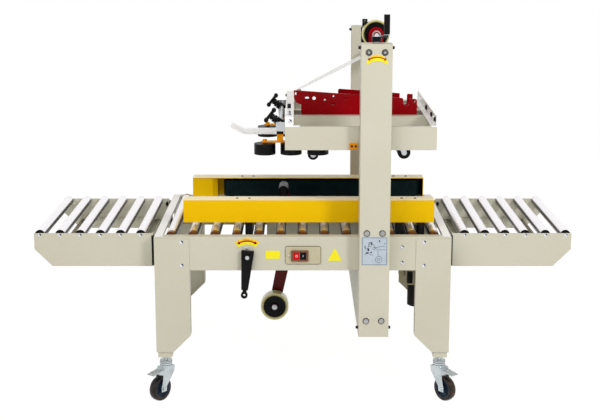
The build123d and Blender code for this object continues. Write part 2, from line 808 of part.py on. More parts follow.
def upper_head_arms():
    """The two pairs of swing arms, their axles, and the link that makes them swing together."""
    arms = []
    for pivot, roller in ((front_pivot, upper_front_roller), (rear_pivot, upper_rear_roller)):
        px, pz = pivot
        x, z, r = roller
        lx, lz = link_pin(pivot, roller)
        for y in (-tape_plate_y + seat_gap, tape_plate_y - seat_gap - 3):
            arm = tape_arm(x, z, px, pz, y, 3.0)
            if y < 0:
                arm += tape_arm(lx, lz, px, pz, y, 3.0)
            arm -= rod_y(px, pz, -tape_plate_y - 9, tape_plate_y + 9, 16.0)
            arms.append(arm)
        arms.append(rod_y(x, z, -tape_plate_y + seat_gap, tape_plate_y - seat_gap, 10.0))
        arms.append(rod_y(lx, lz, -tape_plate_y + seat_gap, -tape_plate_y + 10, 8.0))
    fx, fz = link_pin(front_pivot, upper_front_roller)
    rx, rz = link_pin(rear_pivot, upper_rear_roller)
    arms.append(link_bar(fx, fz, rx, rz, -tape_plate_y + 4, 4.0))
    return as_solid(joined(arms))


def head_roller(x, z, r):
    """A press-on roller bored for its axle."""
    half = tape_roller_width / 2
    return rod_y(x, z, -half, half, r * 2) - rod_y(x, z, -half - 1, half + 1, 10.0)


def upper_head_rollers():
    return as_solid(head_roller(*upper_front_roller) + head_roller(*upper_rear_roller))


# Flap ski

def flap_ski():
    """The folded runner under the head that presses the carton's top flaps down."""
    half = ski_width / 2
    z = ski_height
    t = ski_thickness
    x1 = head_start + sheet + t
    points = [(ski_tip_x, z + ski_tip_rise), (ski_bend_x, z), (x1, z), (x1, z + t),
              (ski_bend_x + 1, z + t), (ski_tip_x, z + ski_tip_rise + t)]
    ski = plate_y(points, -half, ski_width)
    lip = block(ski_bend_x + 6, x1, -half, -half + t, z + t, z + 6)
    ski += lip + mirrored_y(lip)
    ski += block(x1 - t, x1, -half, half, z, head_side_top - 10)
    return as_solid(ski)


# Side press rollers

def press_arm_front():
    """The yellow arm plate over one side's rollers, with their axles and nuts."""
    y = -press_roller_y
    z0 = press_arm_bottom
    z1 = z0 + press_arm_thickness
    first = press_roller_x[0]
    last = press_roller_x[-1]
    pieces = [block(first, last, y - 14, y + 14, z0, z1), rod_z(first, y, z0, z1, 28), rod_z(last, y, z0, z1, 28)]
    for x in press_roller_x:
        pieces.append(rod_z(x, y, press_roller_bottom + 2, z0, 12 - 2 * running_gap))
        pieces.append(Pos(x, y, z1) * extrude(RegularPolygon(8, 6), 7))
    return joined(pieces)


def press_post_front():
    y = -press_roller_y
    half = press_post_width / 2
    x = clamp_bar_x
    post = block(x - half, x + half, y - half, y + half, press_arm_bottom + press_arm_thickness, clamp_bottom)
    return chamfer(post.edges().filter_by(Axis.Z), 2.0)


def press_clamp_front():
    """The clamp that holds the post to the cross bar, and its wing knob leaning outwards."""
    y = -press_roller_y
    half = press_post_width / 2 + 1
    half_neck = clamp_neck_diameter / 2
    foot = block(-half, half, -half, half, -clamp_drop, 0)
    foot = chamfer(foot.edges().filter_by(Axis.Z), 2.0)
    neck = Pos(0, 0, clamp_neck_length / 2 - clamp_neck_back) * Cylinder(half_neck, clamp_neck_length)
    stem = Pos(0, 0, wing_knob_reach / 2) * Cylinder(wing_knob_stem / 2, wing_knob_reach)
    wing = Box(wing_knob_span, wing_knob_depth, wing_knob_thickness)
    wing = Pos(0, 0, wing_knob_reach) * chamfer(wing.edges().filter_by(Axis.Y), 3.0)
    clamp = foot + Rot(0, wing_knob_angle - 90, 0) * (neck + stem + wing)
    clamp -= rod_y(0, 0, -half_neck - 1, half_neck + 1, clamp_bar_diameter)
    return Pos(clamp_bar_x, y, clamp_bar_z) * clamp


def both(front):
    return as_solid(front + mirrored_y(front))


def press_roller_arms():
    return both(press_arm_front() + press_post_front())


def press_roller_clamps():
    return both(press_clamp_front())


def clamp_bar():
    """The round bar across the head's infeed end, with a bracket at each end."""
    reach = head_side_y - 60
    bar = rod_y(clamp_bar_x, clamp_bar_z, -reach, reach, clamp_bar_diameter)
    for y in (-reach, reach - 10):
        bar += block(clamp_bar_x - 14, head_start, y, y + 10, clamp_bar_z - 16, clamp_bar_z + 16)
    return as_solid(bar)


def press_rollers():
    z = press_roller_bottom + press_roller_height / 2
    pieces = []
    for x in press_roller_x:
        roller = Cylinder(press_roller_diameter / 2, press_roller_height) - Cylinder(6.0, press_roller_height + 2)
        pieces.append(Pos(x, -press_roller_y, z) * roller)
    return both(joined(pieces))


# Tape rolls

def tape_roll(x, z, outer, hub):
    """A roll of tape on a hub with a dished front and a bored centre."""
    half = tape_width / 2
    bore = roll_pin_diameter + 2 * running_gap
    roll = rod_y(x, z, -half, half, outer) - rod_y(x, z, -half, -half + hub_recess, hub)
    return as_solid(roll - rod_y(x, z, -half, half, bore))


def roll_holder():
    """The red round-topped upright in front of the roll, its foot on the beam and the roll's pin."""
    y0 = -tape_width / 2 - roll_play - 4
    z0 = top_beam_top
    upright = block(upper_roll_x - 28, upper_roll_x + 28, y0, y0 + 4, z0, upper_roll_z)
    upright += rod_y(upper_roll_x, upper_roll_z, y0, y0 + 4, 56)
    foot = block(top_beam_x - top_beam_width / 2, upper_roll_x + 28, y0 - 30, y0 + 4, z0, z0 + 4)
    pin = rod_y(upper_roll_x, upper_roll_z, y0, tape_width / 2 + roll_play, roll_pin_diameter)
    nut = hex_rod_y(upper_roll_x, upper_roll_z, y0 - 7, y0, 19)
    return as_solid(upright + foot + pin + nut)


def roll_arm():
    """The dark upright behind the roll with a guide bar at its top."""
    y0 = tape_width / 2 + roll_play + seat_gap
    z0 = top_beam_top
    x = upper_roll_x - roll_guide_offset
    arm = block(x - 10, x + 10, y0, y0 + 5, z0, upper_roll_z + roll_guide_rise)
    arm += rod_y(x, upper_roll_z + roll_guide_rise - 10, -tape_width / 2, y0 + 5, 12)
    arm += block(x - 10, top_beam_x + 10, y0, y0 + 30, z0, z0 + 4)
    return as_solid(arm)


def tape_web():
    """The strip of tape from the roll to the head's front corner."""
    bar_x, bar_z, bar_d = web_bar
    rise = math.atan2(upper_roll_z - bar_z, upper_roll_x - bar_x)
    span = math.hypot(upper_roll_z - bar_z, upper_roll_x - bar_x)
    rise -= math.asin((upper_roll_diameter + bar_d) / 2 / span)
    off = bar_d / 2 + seat_gap
    x0 = bar_x - off * math.sin(rise)
    z0 = bar_z + off * math.cos(rise)
    off = upper_roll_diameter / 2 + seat_gap + web_thickness
    x1 = upper_roll_x + off * math.sin(rise)
    z1 = upper_roll_z - off * math.cos(rise)
    half = tape_width / 2
    strip = plate_y([(x0, z0), (x1, z1), (x1, z1 + web_thickness), (x0, z0 + web_thickness)], -half, tape_width)
    return as_solid(strip)


# Height crank

def height_crank():
    """A hub on the front lift screw, a flat arm and an upright grip."""
    hub = rod_z(mast_centre_x, -screw_y, mast_top + 6, crank_hub_z + 14, 34)
    hub = hub - rod_z(mast_centre_x, -screw_y, mast_top + 5, crank_hub_z - 3, lift_screw_diameter + 2 * running_gap)
    arm = block(0, crank_arm_reach, -9, 9, crank_hub_z + 6, crank_hub_z + 14)
    arm += rod_z(crank_arm_reach, 0, crank_hub_z + 6, crank_hub_z + 14, 18)
    arm = Pos(mast_centre_x, -screw_y, 0) * Rot(0, 0, crank_arm_turn) * arm
    grip = rod_z(crank_grip_x, crank_grip_y, crank_hub_z + 17, crank_hub_z + 17 + crank_grip_length,
                 crank_grip_diameter)
    pin = rod_z(crank_grip_x, crank_grip_y, crank_hub_z + 6, crank_hub_z + 20, 10)
    return as_solid(hub + arm + pin + grip)


# Side belt units

def cover_front():
    """A folded cover: closed outside, above and at both ends, open where the belt runs."""
    y0 = -cover_outer_y
    y1 = -cover_inner_y
    t = cover_sheet
    cover = block(cover_start, cover_end, y0, y1, cover_bottom, cover_top)
    cover -= block(cover_start + t, cover_end - t, y0 + t, y1 + 1, cover_bottom - 1, cover_top - t)
    cover += block(cover_start + t, cover_end - t, y0 + t, y1 - 4, cover_bottom, cover_bottom + t)
    nose = cover_start + nose_length
    side = plate_z([(cover_start, y1 - t), (nose - 20, y1 - t), (nose, y1 - 18), (nose, y1 - 18 - t),
                    (nose - 21, y1 - 2 * t), (cover_start, y1 - 2 * t)], cover_bottom, cover_height)
    cover += side
    hole = rod_z(motor_x, -motor_y, cover_bottom - 1, cover_bottom + t + 1, drive_column_diameter)
    return cover - hole


def belt_leg_front(x, low, rods):
    """A leg from the cover's floor down to the screw or the guide rods that cross the bed."""
    half = belt_leg_width / 2
    leg = block(x - half, x + half, -belt_y - half, -belt_y + half, low, cover_bottom)
    for z, d in rods:
        leg -= rod_y(x, z, -belt_y - 20, -belt_y + 20, d + 2 * running_gap)
    return leg


def belt_legs_front():
    rods = [(z, guide_rod_diameter) for z in guide_rod_heights]
    return [belt_leg_front(width_screw_x, width_screw_z - 18, [(width_screw_z, width_screw_diameter)]),
            belt_leg_front(guide_rod_x, guide_rod_heights[-1] - 18, rods)]


def belt_cover_front():
    return as_solid(cover_front())


def belt_front():
    """The loop of belt with its two drums and the bar between them."""
    y = -belt_y
    r = belt_drum_diameter / 2 + belt_thickness
    z1 = belt_bottom + belt_height
    loop = rod_z(belt_front_x, y, belt_bottom, z1, r * 2) + rod_z(belt_back_x, y, belt_bottom, z1, r * 2)
    loop += block(belt_front_x, belt_back_x, y - r, y + r, belt_bottom, z1)
    inner = r - belt_thickness
    hollow = block(belt_front_x + inner + 4, belt_back_x - inner - 4, y - inner, y + inner,
                   belt_bottom - 1, z1 + 1)
    for x, side in ((belt_front_x, 1), (belt_back_x, -1)):
        edge = x + side * (inner + 4)
        hollow += block(edge - side * 0.1, x + side * 6, y - inner, y + inner, belt_bottom - 1, z1 + 1)
        hollow -= rod_z(x, y, belt_bottom - 1, z1 + 1, inner * 2)
    loop -= hollow
    loop += rod_z(belt_front_x, y, cover_bottom + cover_sheet, cover_top - cover_sheet, 16)
    return as_solid(loop)


def motor_front():
    """The drive motor, its gear case and column, and the belt unit's two legs."""
    x = motor_x
    y = -motor_y
    z1 = motor_bottom + motor_height
    motor = rod_z(x, y, motor_bottom, z1, motor_diameter)
    case = block(x - 42, x + 42, y - 42, y + 42, z1 - 6, z1 + 30)
    column = rod_z(x, y, z1 + 20, cover_bottom + cover_sheet + 4, drive_column_diameter)
    bracket = block(x - 80, x - 36, y - 24, y + 24, z1 + 10, z1 + 14)
    return as_solid(joined([motor, case, column, bracket] + belt_legs_front()))


# Cross rods and the width crank

def belt_guides():
    """The width screw and the two guide rods across the bed."""
    reach = side_y - sheet
    rods = rod_y(width_screw_x, width_screw_z, -reach, reach, width_screw_diameter)
    tip = -side_y - width_crank_stand_off - width_crank_bore_depth + seat_gap
    rods += rod_y(width_screw_x, width_screw_z, tip, -reach, width_screw_diameter)
    for z in guide_rod_heights:
        rods += rod_y(guide_rod_x, z, -reach, reach, guide_rod_diameter)
    return as_solid(rods)


def width_crank():
    """A tapered arm hanging from the screw's end, with a ring for the grip."""
    y0 = -side_y - width_crank_stand_off
    r0 = width_crank_hub_radius
    r1 = width_crank_tip_radius
    length = width_crank_length - 20
    taper = plate_y([(-r0, r0), (r0, r0), (r1, -length), (-r1, -length)], y0 - width_crank_thickness,
                    width_crank_thickness)
    taper = fillet(taper.edges().filter_by(Axis.Y), 3.0)
    ring = rod_y(0, -width_crank_length, y0 - width_crank_thickness, y0, r1 * 2)
    neck = block(-r1 * 0.6, r1 * 0.6, y0 - width_crank_thickness, y0, -width_crank_length, -length + 2)
    arm = taper + ring + neck
    arm -= rod_y(0, -width_crank_length, y0 - width_crank_thickness - 1, y0 + 1, 10)
    boss = rod_y(0, 0, y0 - width_crank_thickness - 8, y0 - width_crank_thickness, 22)
    arm += boss
    arm -= rod_y(0, 0, y0 - width_crank_bore_depth, y0 + 1, width_screw_diameter + 2 * running_gap)
    return as_solid(Pos(width_screw_x, 0, width_screw_z) * Rot(0, width_crank_tilt, 0) * arm)


# Switch

def switch_panel():
    """A rounded switch plate with its frame and the two halves of the rocker."""
    y0 = -side_y
    plate = block(switch_left, switch_right, y0 - sheet, y0, switch_bottom, switch_top)
    plate = fillet(plate.edges().filter_by(Axis.Y), 7.0)
    x0 = switch_frame_left
    x1 = x0 + switch_frame_width
    z0 = switch_bottom + switch_frame_rise
    z1 = z0 + switch_frame_height
    middle = (x0 + x1) / 2
    rim = switch_rim
    frame = block(x0, x1, y0 - sheet - 4, y0 - sheet, z0, z1)
    frame = chamfer(frame.edges().filter_by(Axis.Y), 3.0)
    frame -= block(x0 + rim, x1 - rim, y0 - sheet - 5, y0 - sheet - 1, z0 + rim - 2, z1 - rim + 2)
    left = block(x0 + rim + 1, middle, y0 - sheet - 7, y0 - sheet - 1, z0 + rim - 1, z1 - rim + 1)
    right = block(middle, x1 - rim - 1, y0 - sheet - 6, y0 - sheet - 1, z0 + rim - 1, z1 - rim + 1)
    return as_solid(plate + frame + left + right)


# Lower tape head

def lower_head_plates():
    """Two side plates between the bed's rails, with a raised end under each roller."""
    y0 = -tape_plate_y - tape_plate_thickness
    fx, fz, fr = lower_front_roller
    rx, rz, rr = lower_rear_roller
    low = bed_bottom + 20
    outline = [(fx - 40, low), (rx + 30, low), (rx + 46, low + 30), (rx + 46, bed_top - 10),
               (rx + 20, lower_hook_top - 8), (rx - 16, lower_hook_top - 8), (rx - 40, bed_top + 6),
               (fx + 50, bed_top + 6), (fx + 16, lower_hook_top), (fx - 14, lower_hook_top),
               (fx - 34, bed_top - 10), (fx - 46, bed_top - 30)]
    plate = plate_y(outline, y0, tape_plate_thickness)
    plate = chamfer(plate.edges().filter_by(Axis.Y), 4.0)
    plates = plate + mirrored_y(plate)
    for x in (fx, rx):
        plates += rod_y(x, lower_arm_pivot_z, -tape_plate_y, tape_plate_y, 16.0)
    for x in (fx + 74, rx - 58):
        plates += rod_y(x, bed_bottom + 73, -tape_plate_y, tape_plate_y, 16.0)
    return as_solid(plates)


def lower_roller_arms(x, z):
    """A pair of upright arms from a pivot in the plates up to a roller, and the roller's axle."""
    pieces = [rod_y(x, z, -tape_plate_y + seat_gap, tape_plate_y - seat_gap, 10.0)]
    for y in (-tape_plate_y + seat_gap, tape_plate_y - seat_gap - 3):
        low = lower_arm_pivot_z - 14
        arm = plate_y([(x - 14, low), (x + 14, low), (x + 11, z + 8), (x + 5, z + 13), (x - 5, z + 13),
                       (x - 11, z + 8)], y, 3.0)
        pieces.append(arm - rod_y(x, lower_arm_pivot_z, -tape_plate_y - 9, tape_plate_y + 9, 16.0))
    return pieces


def lower_head_rollers():
    """Both rollers of the lower head with the arms that carry them."""
    pieces = []
    for x, z, r in (lower_front_roller, lower_rear_roller):
        half = tape_roller_width / 2
        pieces.append(rod_y(x, z, -half, half, r * 2))
        pieces += lower_roller_arms(x, z)
    return as_solid(joined(pieces))


def lower_rails():
    """Two rails between the bed's cross ties that hold the split rollers and the lower head."""
    x0 = tape_gap_start
    x1 = tape_gap_end
    rail = block(x0, x1, -head_rail_y - sheet, -head_rail_y, bed_bottom + 30, bed_top - 2)
    rail += block(x0, x1, -head_rail_y, -tape_plate_y - tape_plate_thickness - seat_gap,
                  bed_bottom + 30, bed_bottom + 30 + sheet)
    for x in (x0 + 4, x1 - 24):
        rail += block(x, x + 20, -side_y + sheet, -head_rail_y, bed_bottom + 4, bed_bottom + 30)
    for x in (x0 + 4, x1 - 24):
        rail += block(x, x + 20, -head_rail_y, 0, bed_bottom + 4, bed_bottom + 19)
    return as_solid(rail + mirrored_y(rail))


def lower_roll_arm():
    """The slanting arm behind the lower roll, its foot under the head, and the roll's pin."""
    y0 = tape_width / 2 + roll_play
    y1 = y0 + 4
    top = bed_bottom + 20
    half = lower_arm_width / 2
    end = half * 0.8
    x0 = lower_arm_top_x
    arm = plate_y([(x0 - half, top), (x0 + half, top), (lower_roll_x + end, lower_roll_z),
                   (lower_roll_x - end, lower_roll_z)], y0, 4)
    arm += rod_y(lower_roll_x, lower_roll_z, y0, y1, end * 2)
    arm += rod_y(lower_roll_x, lower_roll_z, -tape_width / 2 - roll_play, y0, roll_pin_diameter)
    nut = hex_rod_y(lower_roll_x, lower_roll_z, -tape_width / 2 - roll_play, -tape_width / 2 - 1, 22)
    foot = block(x0 - half, x0 + half, y0, tape_plate_y + tape_plate_thickness, top - 4, top)
    return as_solid(arm + nut + foot)


turned_wheels = (("infeed_front", -1, -1, 180 + caster_turn), ("infeed_back", -1, 1, 180 - caster_turn),
                 ("discharge_front", 1, -1, -caster_turn), ("discharge_back", 1, 1, caster_turn))


def all_nodes():
    """Every sub-part by name."""
    nodes = {}
    side = bed_side_front()
    nodes["bed_side_front"] = side
    nodes["bed_side_back"] = mirrored_y(side)
    end = bed_end_discharge()
    nodes["bed_end_discharge"] = end
    nodes["bed_end_infeed"] = mirrored_x(end)
    nodes["bed_rollers"] = bed_rollers()
    leg = leg_discharge_front()
    nodes["leg_discharge_front"] = leg
    nodes["leg_discharge_back"] = mirrored_y(leg)
    nodes["leg_infeed_front"] = mirrored_x(leg)
    nodes["leg_infeed_back"] = mirrored_x(mirrored_y(leg))
    for name, sx, sy, turn in turned_wheels:
        x = sx * caster_x()
        y = -sy * caster_y_front()
        nodes["caster_fork_" + name] = caster_fork(x, y, turn)
        nodes["caster_wheel_" + name] = caster_wheel(x, y, turn)
    table = table_frame_discharge()
    nodes["table_frame_discharge"] = table
    nodes["table_frame_infeed"] = mirrored_x(table)
    rollers = table_rollers_discharge()
    nodes["table_rollers_discharge"] = rollers
    nodes["table_rollers_infeed"] = mirrored_x(rollers)
    mast = mast_front()
    nodes["mast_front"] = mast
    nodes["mast_back"] = mirrored_y(mast)
    nodes["mast_base"] = mast_base()
    nodes["mast_top_beam"] = mast_top_beam()
    nodes["lift_screws"] = lift_screws()
    head_side = head_side_front()
    nodes["head_side_front"] = head_side
    nodes["head_side_back"] = mirrored_y(head_side)
    nodes["head_end_infeed"] = head_end_infeed()
    nodes["head_end_discharge"] = head_end_discharge()
    nodes["head_rails"] = head_rails()
    nodes["lift_carriages"] = lift_carriages()
    nodes["guide_blocks"] = guide_blocks()
    nodes["upper_head_plates"] = upper_head_plates()
    nodes["upper_head_arms"] = upper_head_arms()
    nodes["upper_head_rollers"] = upper_head_rollers()
    nodes["flap_ski"] = flap_ski()
    nodes["clamp_bar"] = clamp_bar()
    nodes["press_roller_arms"] = press_roller_arms()
    nodes["press_roller_clamps"] = press_roller_clamps()
    nodes["press_rollers"] = press_rollers()
    nodes["upper_tape_roll"] = tape_roll(upper_roll_x, upper_roll_z, upper_roll_diameter, upper_hub_diameter)
    nodes["lower_tape_roll"] = tape_roll(lower_roll_x, lower_roll_z, lower_roll_diameter, lower_hub_diameter)
    nodes["roll_holder"] = roll_holder()
    nodes["roll_arm"] = roll_arm()
    nodes["tape_web"] = tape_web()
    nodes["height_crank"] = height_crank()
    cover = belt_cover_front()
    nodes["belt_cover_front"] = cover
    nodes["belt_cover_back"] = mirrored_y(cover)
    belt = belt_front()
    nodes["belt_front"] = belt
    nodes["belt_back"] = mirrored_y(belt)
    motor = motor_front()
    nodes["motor_front"] = motor
    nodes["motor_back"] = mirrored_y(motor)
    nodes["belt_guides"] = belt_guides()
    nodes["width_crank"] = width_crank()
    nodes["switch_panel"] = switch_panel()
    nodes["lower_head_plates"] = lower_head_plates()
    nodes["lower_head_rollers"] = lower_head_rollers()
    nodes["lower_rails"] = lower_rails()
    nodes["lower_roll_arm"] = lower_roll_arm()
    return nodes


os.makedirs("parts", exist_ok=True)
for node_name, node_shape in all_nodes().items():
    export_step(node_shape, "parts/" + node_name + ".step")
    print(node_name, len(node_shape.solids()), "solid(s)")
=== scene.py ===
import bpy
import bmesh
import json
import math
from mathutils import Matrix, Vector


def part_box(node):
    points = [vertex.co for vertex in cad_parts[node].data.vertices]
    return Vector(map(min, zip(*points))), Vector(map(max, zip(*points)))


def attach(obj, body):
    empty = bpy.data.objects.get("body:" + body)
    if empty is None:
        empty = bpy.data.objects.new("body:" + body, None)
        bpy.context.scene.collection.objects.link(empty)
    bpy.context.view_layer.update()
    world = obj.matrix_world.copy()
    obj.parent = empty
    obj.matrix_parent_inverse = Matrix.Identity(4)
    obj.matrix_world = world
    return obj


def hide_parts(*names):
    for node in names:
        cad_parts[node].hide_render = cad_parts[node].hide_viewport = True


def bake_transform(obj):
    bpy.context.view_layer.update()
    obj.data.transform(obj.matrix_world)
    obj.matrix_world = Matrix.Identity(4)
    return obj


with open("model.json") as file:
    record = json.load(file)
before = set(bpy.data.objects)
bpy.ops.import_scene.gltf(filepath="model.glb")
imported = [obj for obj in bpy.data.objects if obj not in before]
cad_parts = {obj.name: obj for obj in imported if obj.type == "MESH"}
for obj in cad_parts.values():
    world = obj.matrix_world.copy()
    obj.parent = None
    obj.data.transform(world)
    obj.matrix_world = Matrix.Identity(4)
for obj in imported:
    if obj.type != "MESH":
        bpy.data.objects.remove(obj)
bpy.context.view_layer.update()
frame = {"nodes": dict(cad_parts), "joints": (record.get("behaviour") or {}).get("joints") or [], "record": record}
nodes = frame["nodes"]
print("sealer frame loaded:", len(nodes), "nodes")

# the camera that the photograph was taken from, in metres and degrees
cameraView = {
    "place": (-0.0097, -4.8887, 1.7322),
    "downTilt": 12.5,
    "lens": 76.1,
    "sensor": 36.0,
}


def addCamera():
    data = bpy.data.cameras.new("sealerCamera")
    data.lens = cameraView["lens"]
    data.sensor_width = cameraView["sensor"]
    camera = bpy.data.objects.new("sealerCamera", data)
    camera.location = cameraView["place"]
    camera.rotation_euler = (math.radians(90 - cameraView["downTilt"]), 0, 0)
    bpy.context.scene.collection.objects.link(camera)
    bpy.context.scene.camera = camera


addCamera()
print("camera placed")


# small helpers for node materials
def srgb(r, g, b):
    return tuple(((c + 0.055) / 1.055) ** 2.4 if c > 0.04045 else c / 12.92 for c in (r, g, b)) + (1.0,)


def startMaterial(name):
    material = bpy.data.materials.new(name)
    material.use_nodes = True
    tree = material.node_tree
    return material, tree, tree.nodes["Principled BSDF"]


def setSockets(tree, node, values):
    # a node's output is linked to the socket, anything else is written into it
    for key, value in values.items():
        if isinstance(value, bpy.types.NodeSocket):
            tree.links.new(value, node.inputs[key])
        else:
            node.inputs[key].default_value = value


def addNode(tree, kind, **inputs):
    node = tree.nodes.new(kind)
    setSockets(tree, node, {key.replace("_", " "): value for key, value in inputs.items()})
    return node


def objectPlace(tree):
    return tree.nodes.new("ShaderNodeTexCoord").outputs["Object"]


def stretched(tree, scale):
    return addNode(tree, "ShaderNodeMapping", Vector=objectPlace(tree), Scale=scale).outputs["Vector"]


def noiseAt(tree, vector, scale, detail=3.0):
    return addNode(tree, "ShaderNodeTexNoise", Vector=vector, Scale=scale, Detail=detail).outputs["Fac"]


def spread(tree, value, low, high, outLow=0.0, outHigh=1.0):
    ramp = addNode(tree, "ShaderNodeMapRange", Value=value, From_Min=low, From_Max=high, To_Min=outLow,
                   To_Max=outHigh)
    return ramp.outputs["Result"]


def mixColours(tree, factor, first, second):
    # 6 and 7 are a mix node's two colours, and 2 is the colour that comes out
    mix = tree.nodes.new("ShaderNodeMix")
    mix.data_type = "RGBA"
    setSockets(tree, mix, {"Factor": factor, 6: first, 7: second})
    return mix.outputs[2]


def mathNode(tree, operation, *values):
    node = tree.nodes.new("ShaderNodeMath")
    node.operation = operation
    setSockets(tree, node, dict(enumerate(values)))
    return node.outputs[0]


def vectorNode(tree, operation, vector, fixed=(0.0, 0.0, 0.0)):
    node = tree.nodes.new("ShaderNodeVectorMath")
    node.operation = operation
    setSockets(tree, node, {0: vector, 1: fixed})
    return node.outputs


def axisPart(tree, vector, axis):
    split = tree.nodes.new("ShaderNodeSeparateXYZ")
    tree.links.new(vector, split.inputs[0])
    return split.outputs[axis]


def facingNormal(tree, axis):
    # how far a face turns towards one axis of the object, from -1 to 1
    return axisPart(tree, tree.nodes.new("ShaderNodeTexCoord").outputs["Normal"], axis)


def addBump(tree, bsdf, height, strength, distance, soften=0.0):
    bump = addNode(tree, "ShaderNodeBump", Height=height, Strength=strength, Distance=distance)
    if soften > 0:
        bevel = addNode(tree, "ShaderNodeBevel", Radius=soften)
        bevel.samples = 4
        tree.links.new(bevel.outputs["Normal"], bump.inputs["Normal"])
    tree.links.new(bump.outputs["Normal"], bsdf.inputs["Normal"])


# powder coats and enamels: a little cloudiness, orange peel and softened folds; a top colour is a painted
# highlight on faces that look upwards
paintLooks = {
    "creamPaint": {"colour": (0.795, 0.79, 0.735), "shade": (0.78, 0.772, 0.712), "rough": 0.45,
                   "shine": 0.25},
    "whitePaint": {"colour": (0.985, 0.99, 1.0), "shade": (0.96, 0.965, 0.985), "rough": 0.40,
                   "shine": 0.5, "coat": 0.05},
    "yellowPaint": {"colour": (0.945, 0.765, 0.0), "shade": (0.935, 0.745, 0.0), "rough": 0.38,
                    "shine": 0.08, "top": (1.0, 0.96, 0.82)},
    "orangePaint": {"colour": (0.93, 0.60, 0.02), "shade": (0.90, 0.55, 0.01), "rough": 0.35,
                    "shine": 0.12, "top": (0.98, 0.80, 0.25)},
    "redEnamel": {"colour": (0.60, 0.0, 0.05), "shade": (0.50, 0.0, 0.035), "rough": 0.25, "shine": 0.10},
    "maroonEnamel": {"colour": (0.36, 0.05, 0.065), "shade": (0.32, 0.035, 0.05), "rough": 0.30,
                     "shine": 0.15},
    "motorEnamel": {"colour": (0.075, 0.075, 0.08), "shade": (0.05, 0.05, 0.055), "rough": 0.45,
                    "shine": 0.3},
}
paintGrain = {"cloud": 3.5, "speck": 90.0, "darker": 0.93, "dull": 14.0, "peel": 420.0, "fold": 0.0012}


def paintedMetal(name):
    look = paintLooks[name]
    material, tree, bsdf = startMaterial(name)
    place = objectPlace(tree)
    cloud = spread(tree, noiseAt(tree, place, paintGrain["cloud"], 4.0), 0.35, 0.7)
    speck = spread(tree, noiseAt(tree, place, paintGrain["speck"], 2.0), 0.55, 0.75, 0.0, 0.12)
    base = mixColours(tree, cloud, srgb(*look["colour"]), srgb(*look["shade"]))
    darker = tuple(c * paintGrain["darker"] for c in look["shade"])
    base = mixColours(tree, speck, base, srgb(*darker))
    # painted highlight: faces that look upwards turn to the paler top colour
    if "top" in look:  # paler faces that look upwards
        paintedTopLight = spread(tree, facingNormal(tree, "Z"), 0.6, 0.95)
        base = mixColours(tree, paintedTopLight, base, srgb(*look["top"]))
    dull = noiseAt(tree, place, paintGrain["dull"])
    rough = spread(tree, dull, 0.3, 0.7, look["rough"] - 0.05, look["rough"] + 0.08)
    setSockets(tree, bsdf, {"Base Color": base, "Roughness": rough, "Specular IOR Level": look["shine"],
                            "Coat Weight": look.get("coat", 0.0), "Coat Roughness": 0.12})
    peel = noiseAt(tree, place, paintGrain["peel"], 1.0)
    addBump(tree, bsdf, peel, 0.10, 0.0004, soften=paintGrain["fold"])
    return material


# plated and turned metals: fine lines round or along the piece
metalLooks = {
    "casterZinc": {"colour": (0.80, 0.83, 0.84), "rough": 0.27, "lines": (60.0, 60.0, 160.0), "depth": 0.10},
    "turnedSteel": {"colour": (0.70, 0.70, 0.69), "rough": 0.24, "lines": (40.0, 500.0, 500.0),
                    "depth": 0.12},
    "boltZinc": {"colour": (0.80, 0.81, 0.82), "rough": 0.25},
    "darkCasting": {"colour": (0.26, 0.26, 0.27), "rough": 0.48, "lines": (120.0, 120.0, 120.0),
                    "depth": 0.30},
    "darkBolt": {"colour": (0.17, 0.17, 0.18), "rough": 0.20},
    "brightNut": {"colour": (0.90, 0.90, 0.92), "rough": 0.18},
}
plainMetal = {"lines": (300.0, 300.0, 300.0), "depth": 0.08}  # where a look says nothing else
metalGrain = {"stain": 22.0, "dull": 0.86, "bump": 0.0003, "fold": 0.0007}
# the dark colour is a painted reflection on each dome's upper right side
coachLook = {"bright": (0.93, 0.93, 0.96), "worn": (0.80, 0.80, 0.83), "dark": (0.07, 0.07, 0.08),
             "wear": 260.0}


def coachHeadPaintedReflection(name):
    # a bright dome whose upper right side is painted dark, a painted reflection of dark surroundings
    material, tree, bsdf = startMaterial(name)
    lean = mathNode(tree, "ADD", facingNormal(tree, "X"), facingNormal(tree, "Z"))
    wear = noiseAt(tree, objectPlace(tree), coachLook["wear"], 3.0)
    worn = spread(tree, wear, 0.4, 0.7)
    bright = mixColours(tree, worn, srgb(*coachLook["bright"]), srgb(*coachLook["worn"]))
    # painted reflection: faces that lean up and to the right turn dark
    dark = spread(tree, lean, 0.25, 0.45)
    base = mixColours(tree, dark, bright, srgb(*coachLook["dark"]))
    setSockets(tree, bsdf, {"Base Color": base, "Metallic": 0.6, "Roughness": 0.2})
    addBump(tree, bsdf, wear, 0.1, 0.0002)
    return material


def platedMetal(name):
    look = {**plainMetal, **metalLooks[name]}
    material, tree, bsdf = startMaterial(name)
    lines = noiseAt(tree, stretched(tree, look["lines"]), 1.0, 4.0)
    stains = spread(tree, noiseAt(tree, objectPlace(tree), metalGrain["stain"], 4.0), 0.4, 0.75)
    dull = tuple(c * metalGrain["dull"] for c in look["colour"])
    base = mixColours(tree, stains, srgb(*look["colour"]), srgb(*dull))
    rough = spread(tree, lines, 0.3, 0.7, look["rough"] - 0.05, look["rough"] + 0.1)
    setSockets(tree, bsdf, {"Base Color": base, "Metallic": 1.0, "Roughness": rough})
    addBump(tree, bsdf, lines, look["depth"], metalGrain["bump"], soften=metalGrain["fold"])
    return material
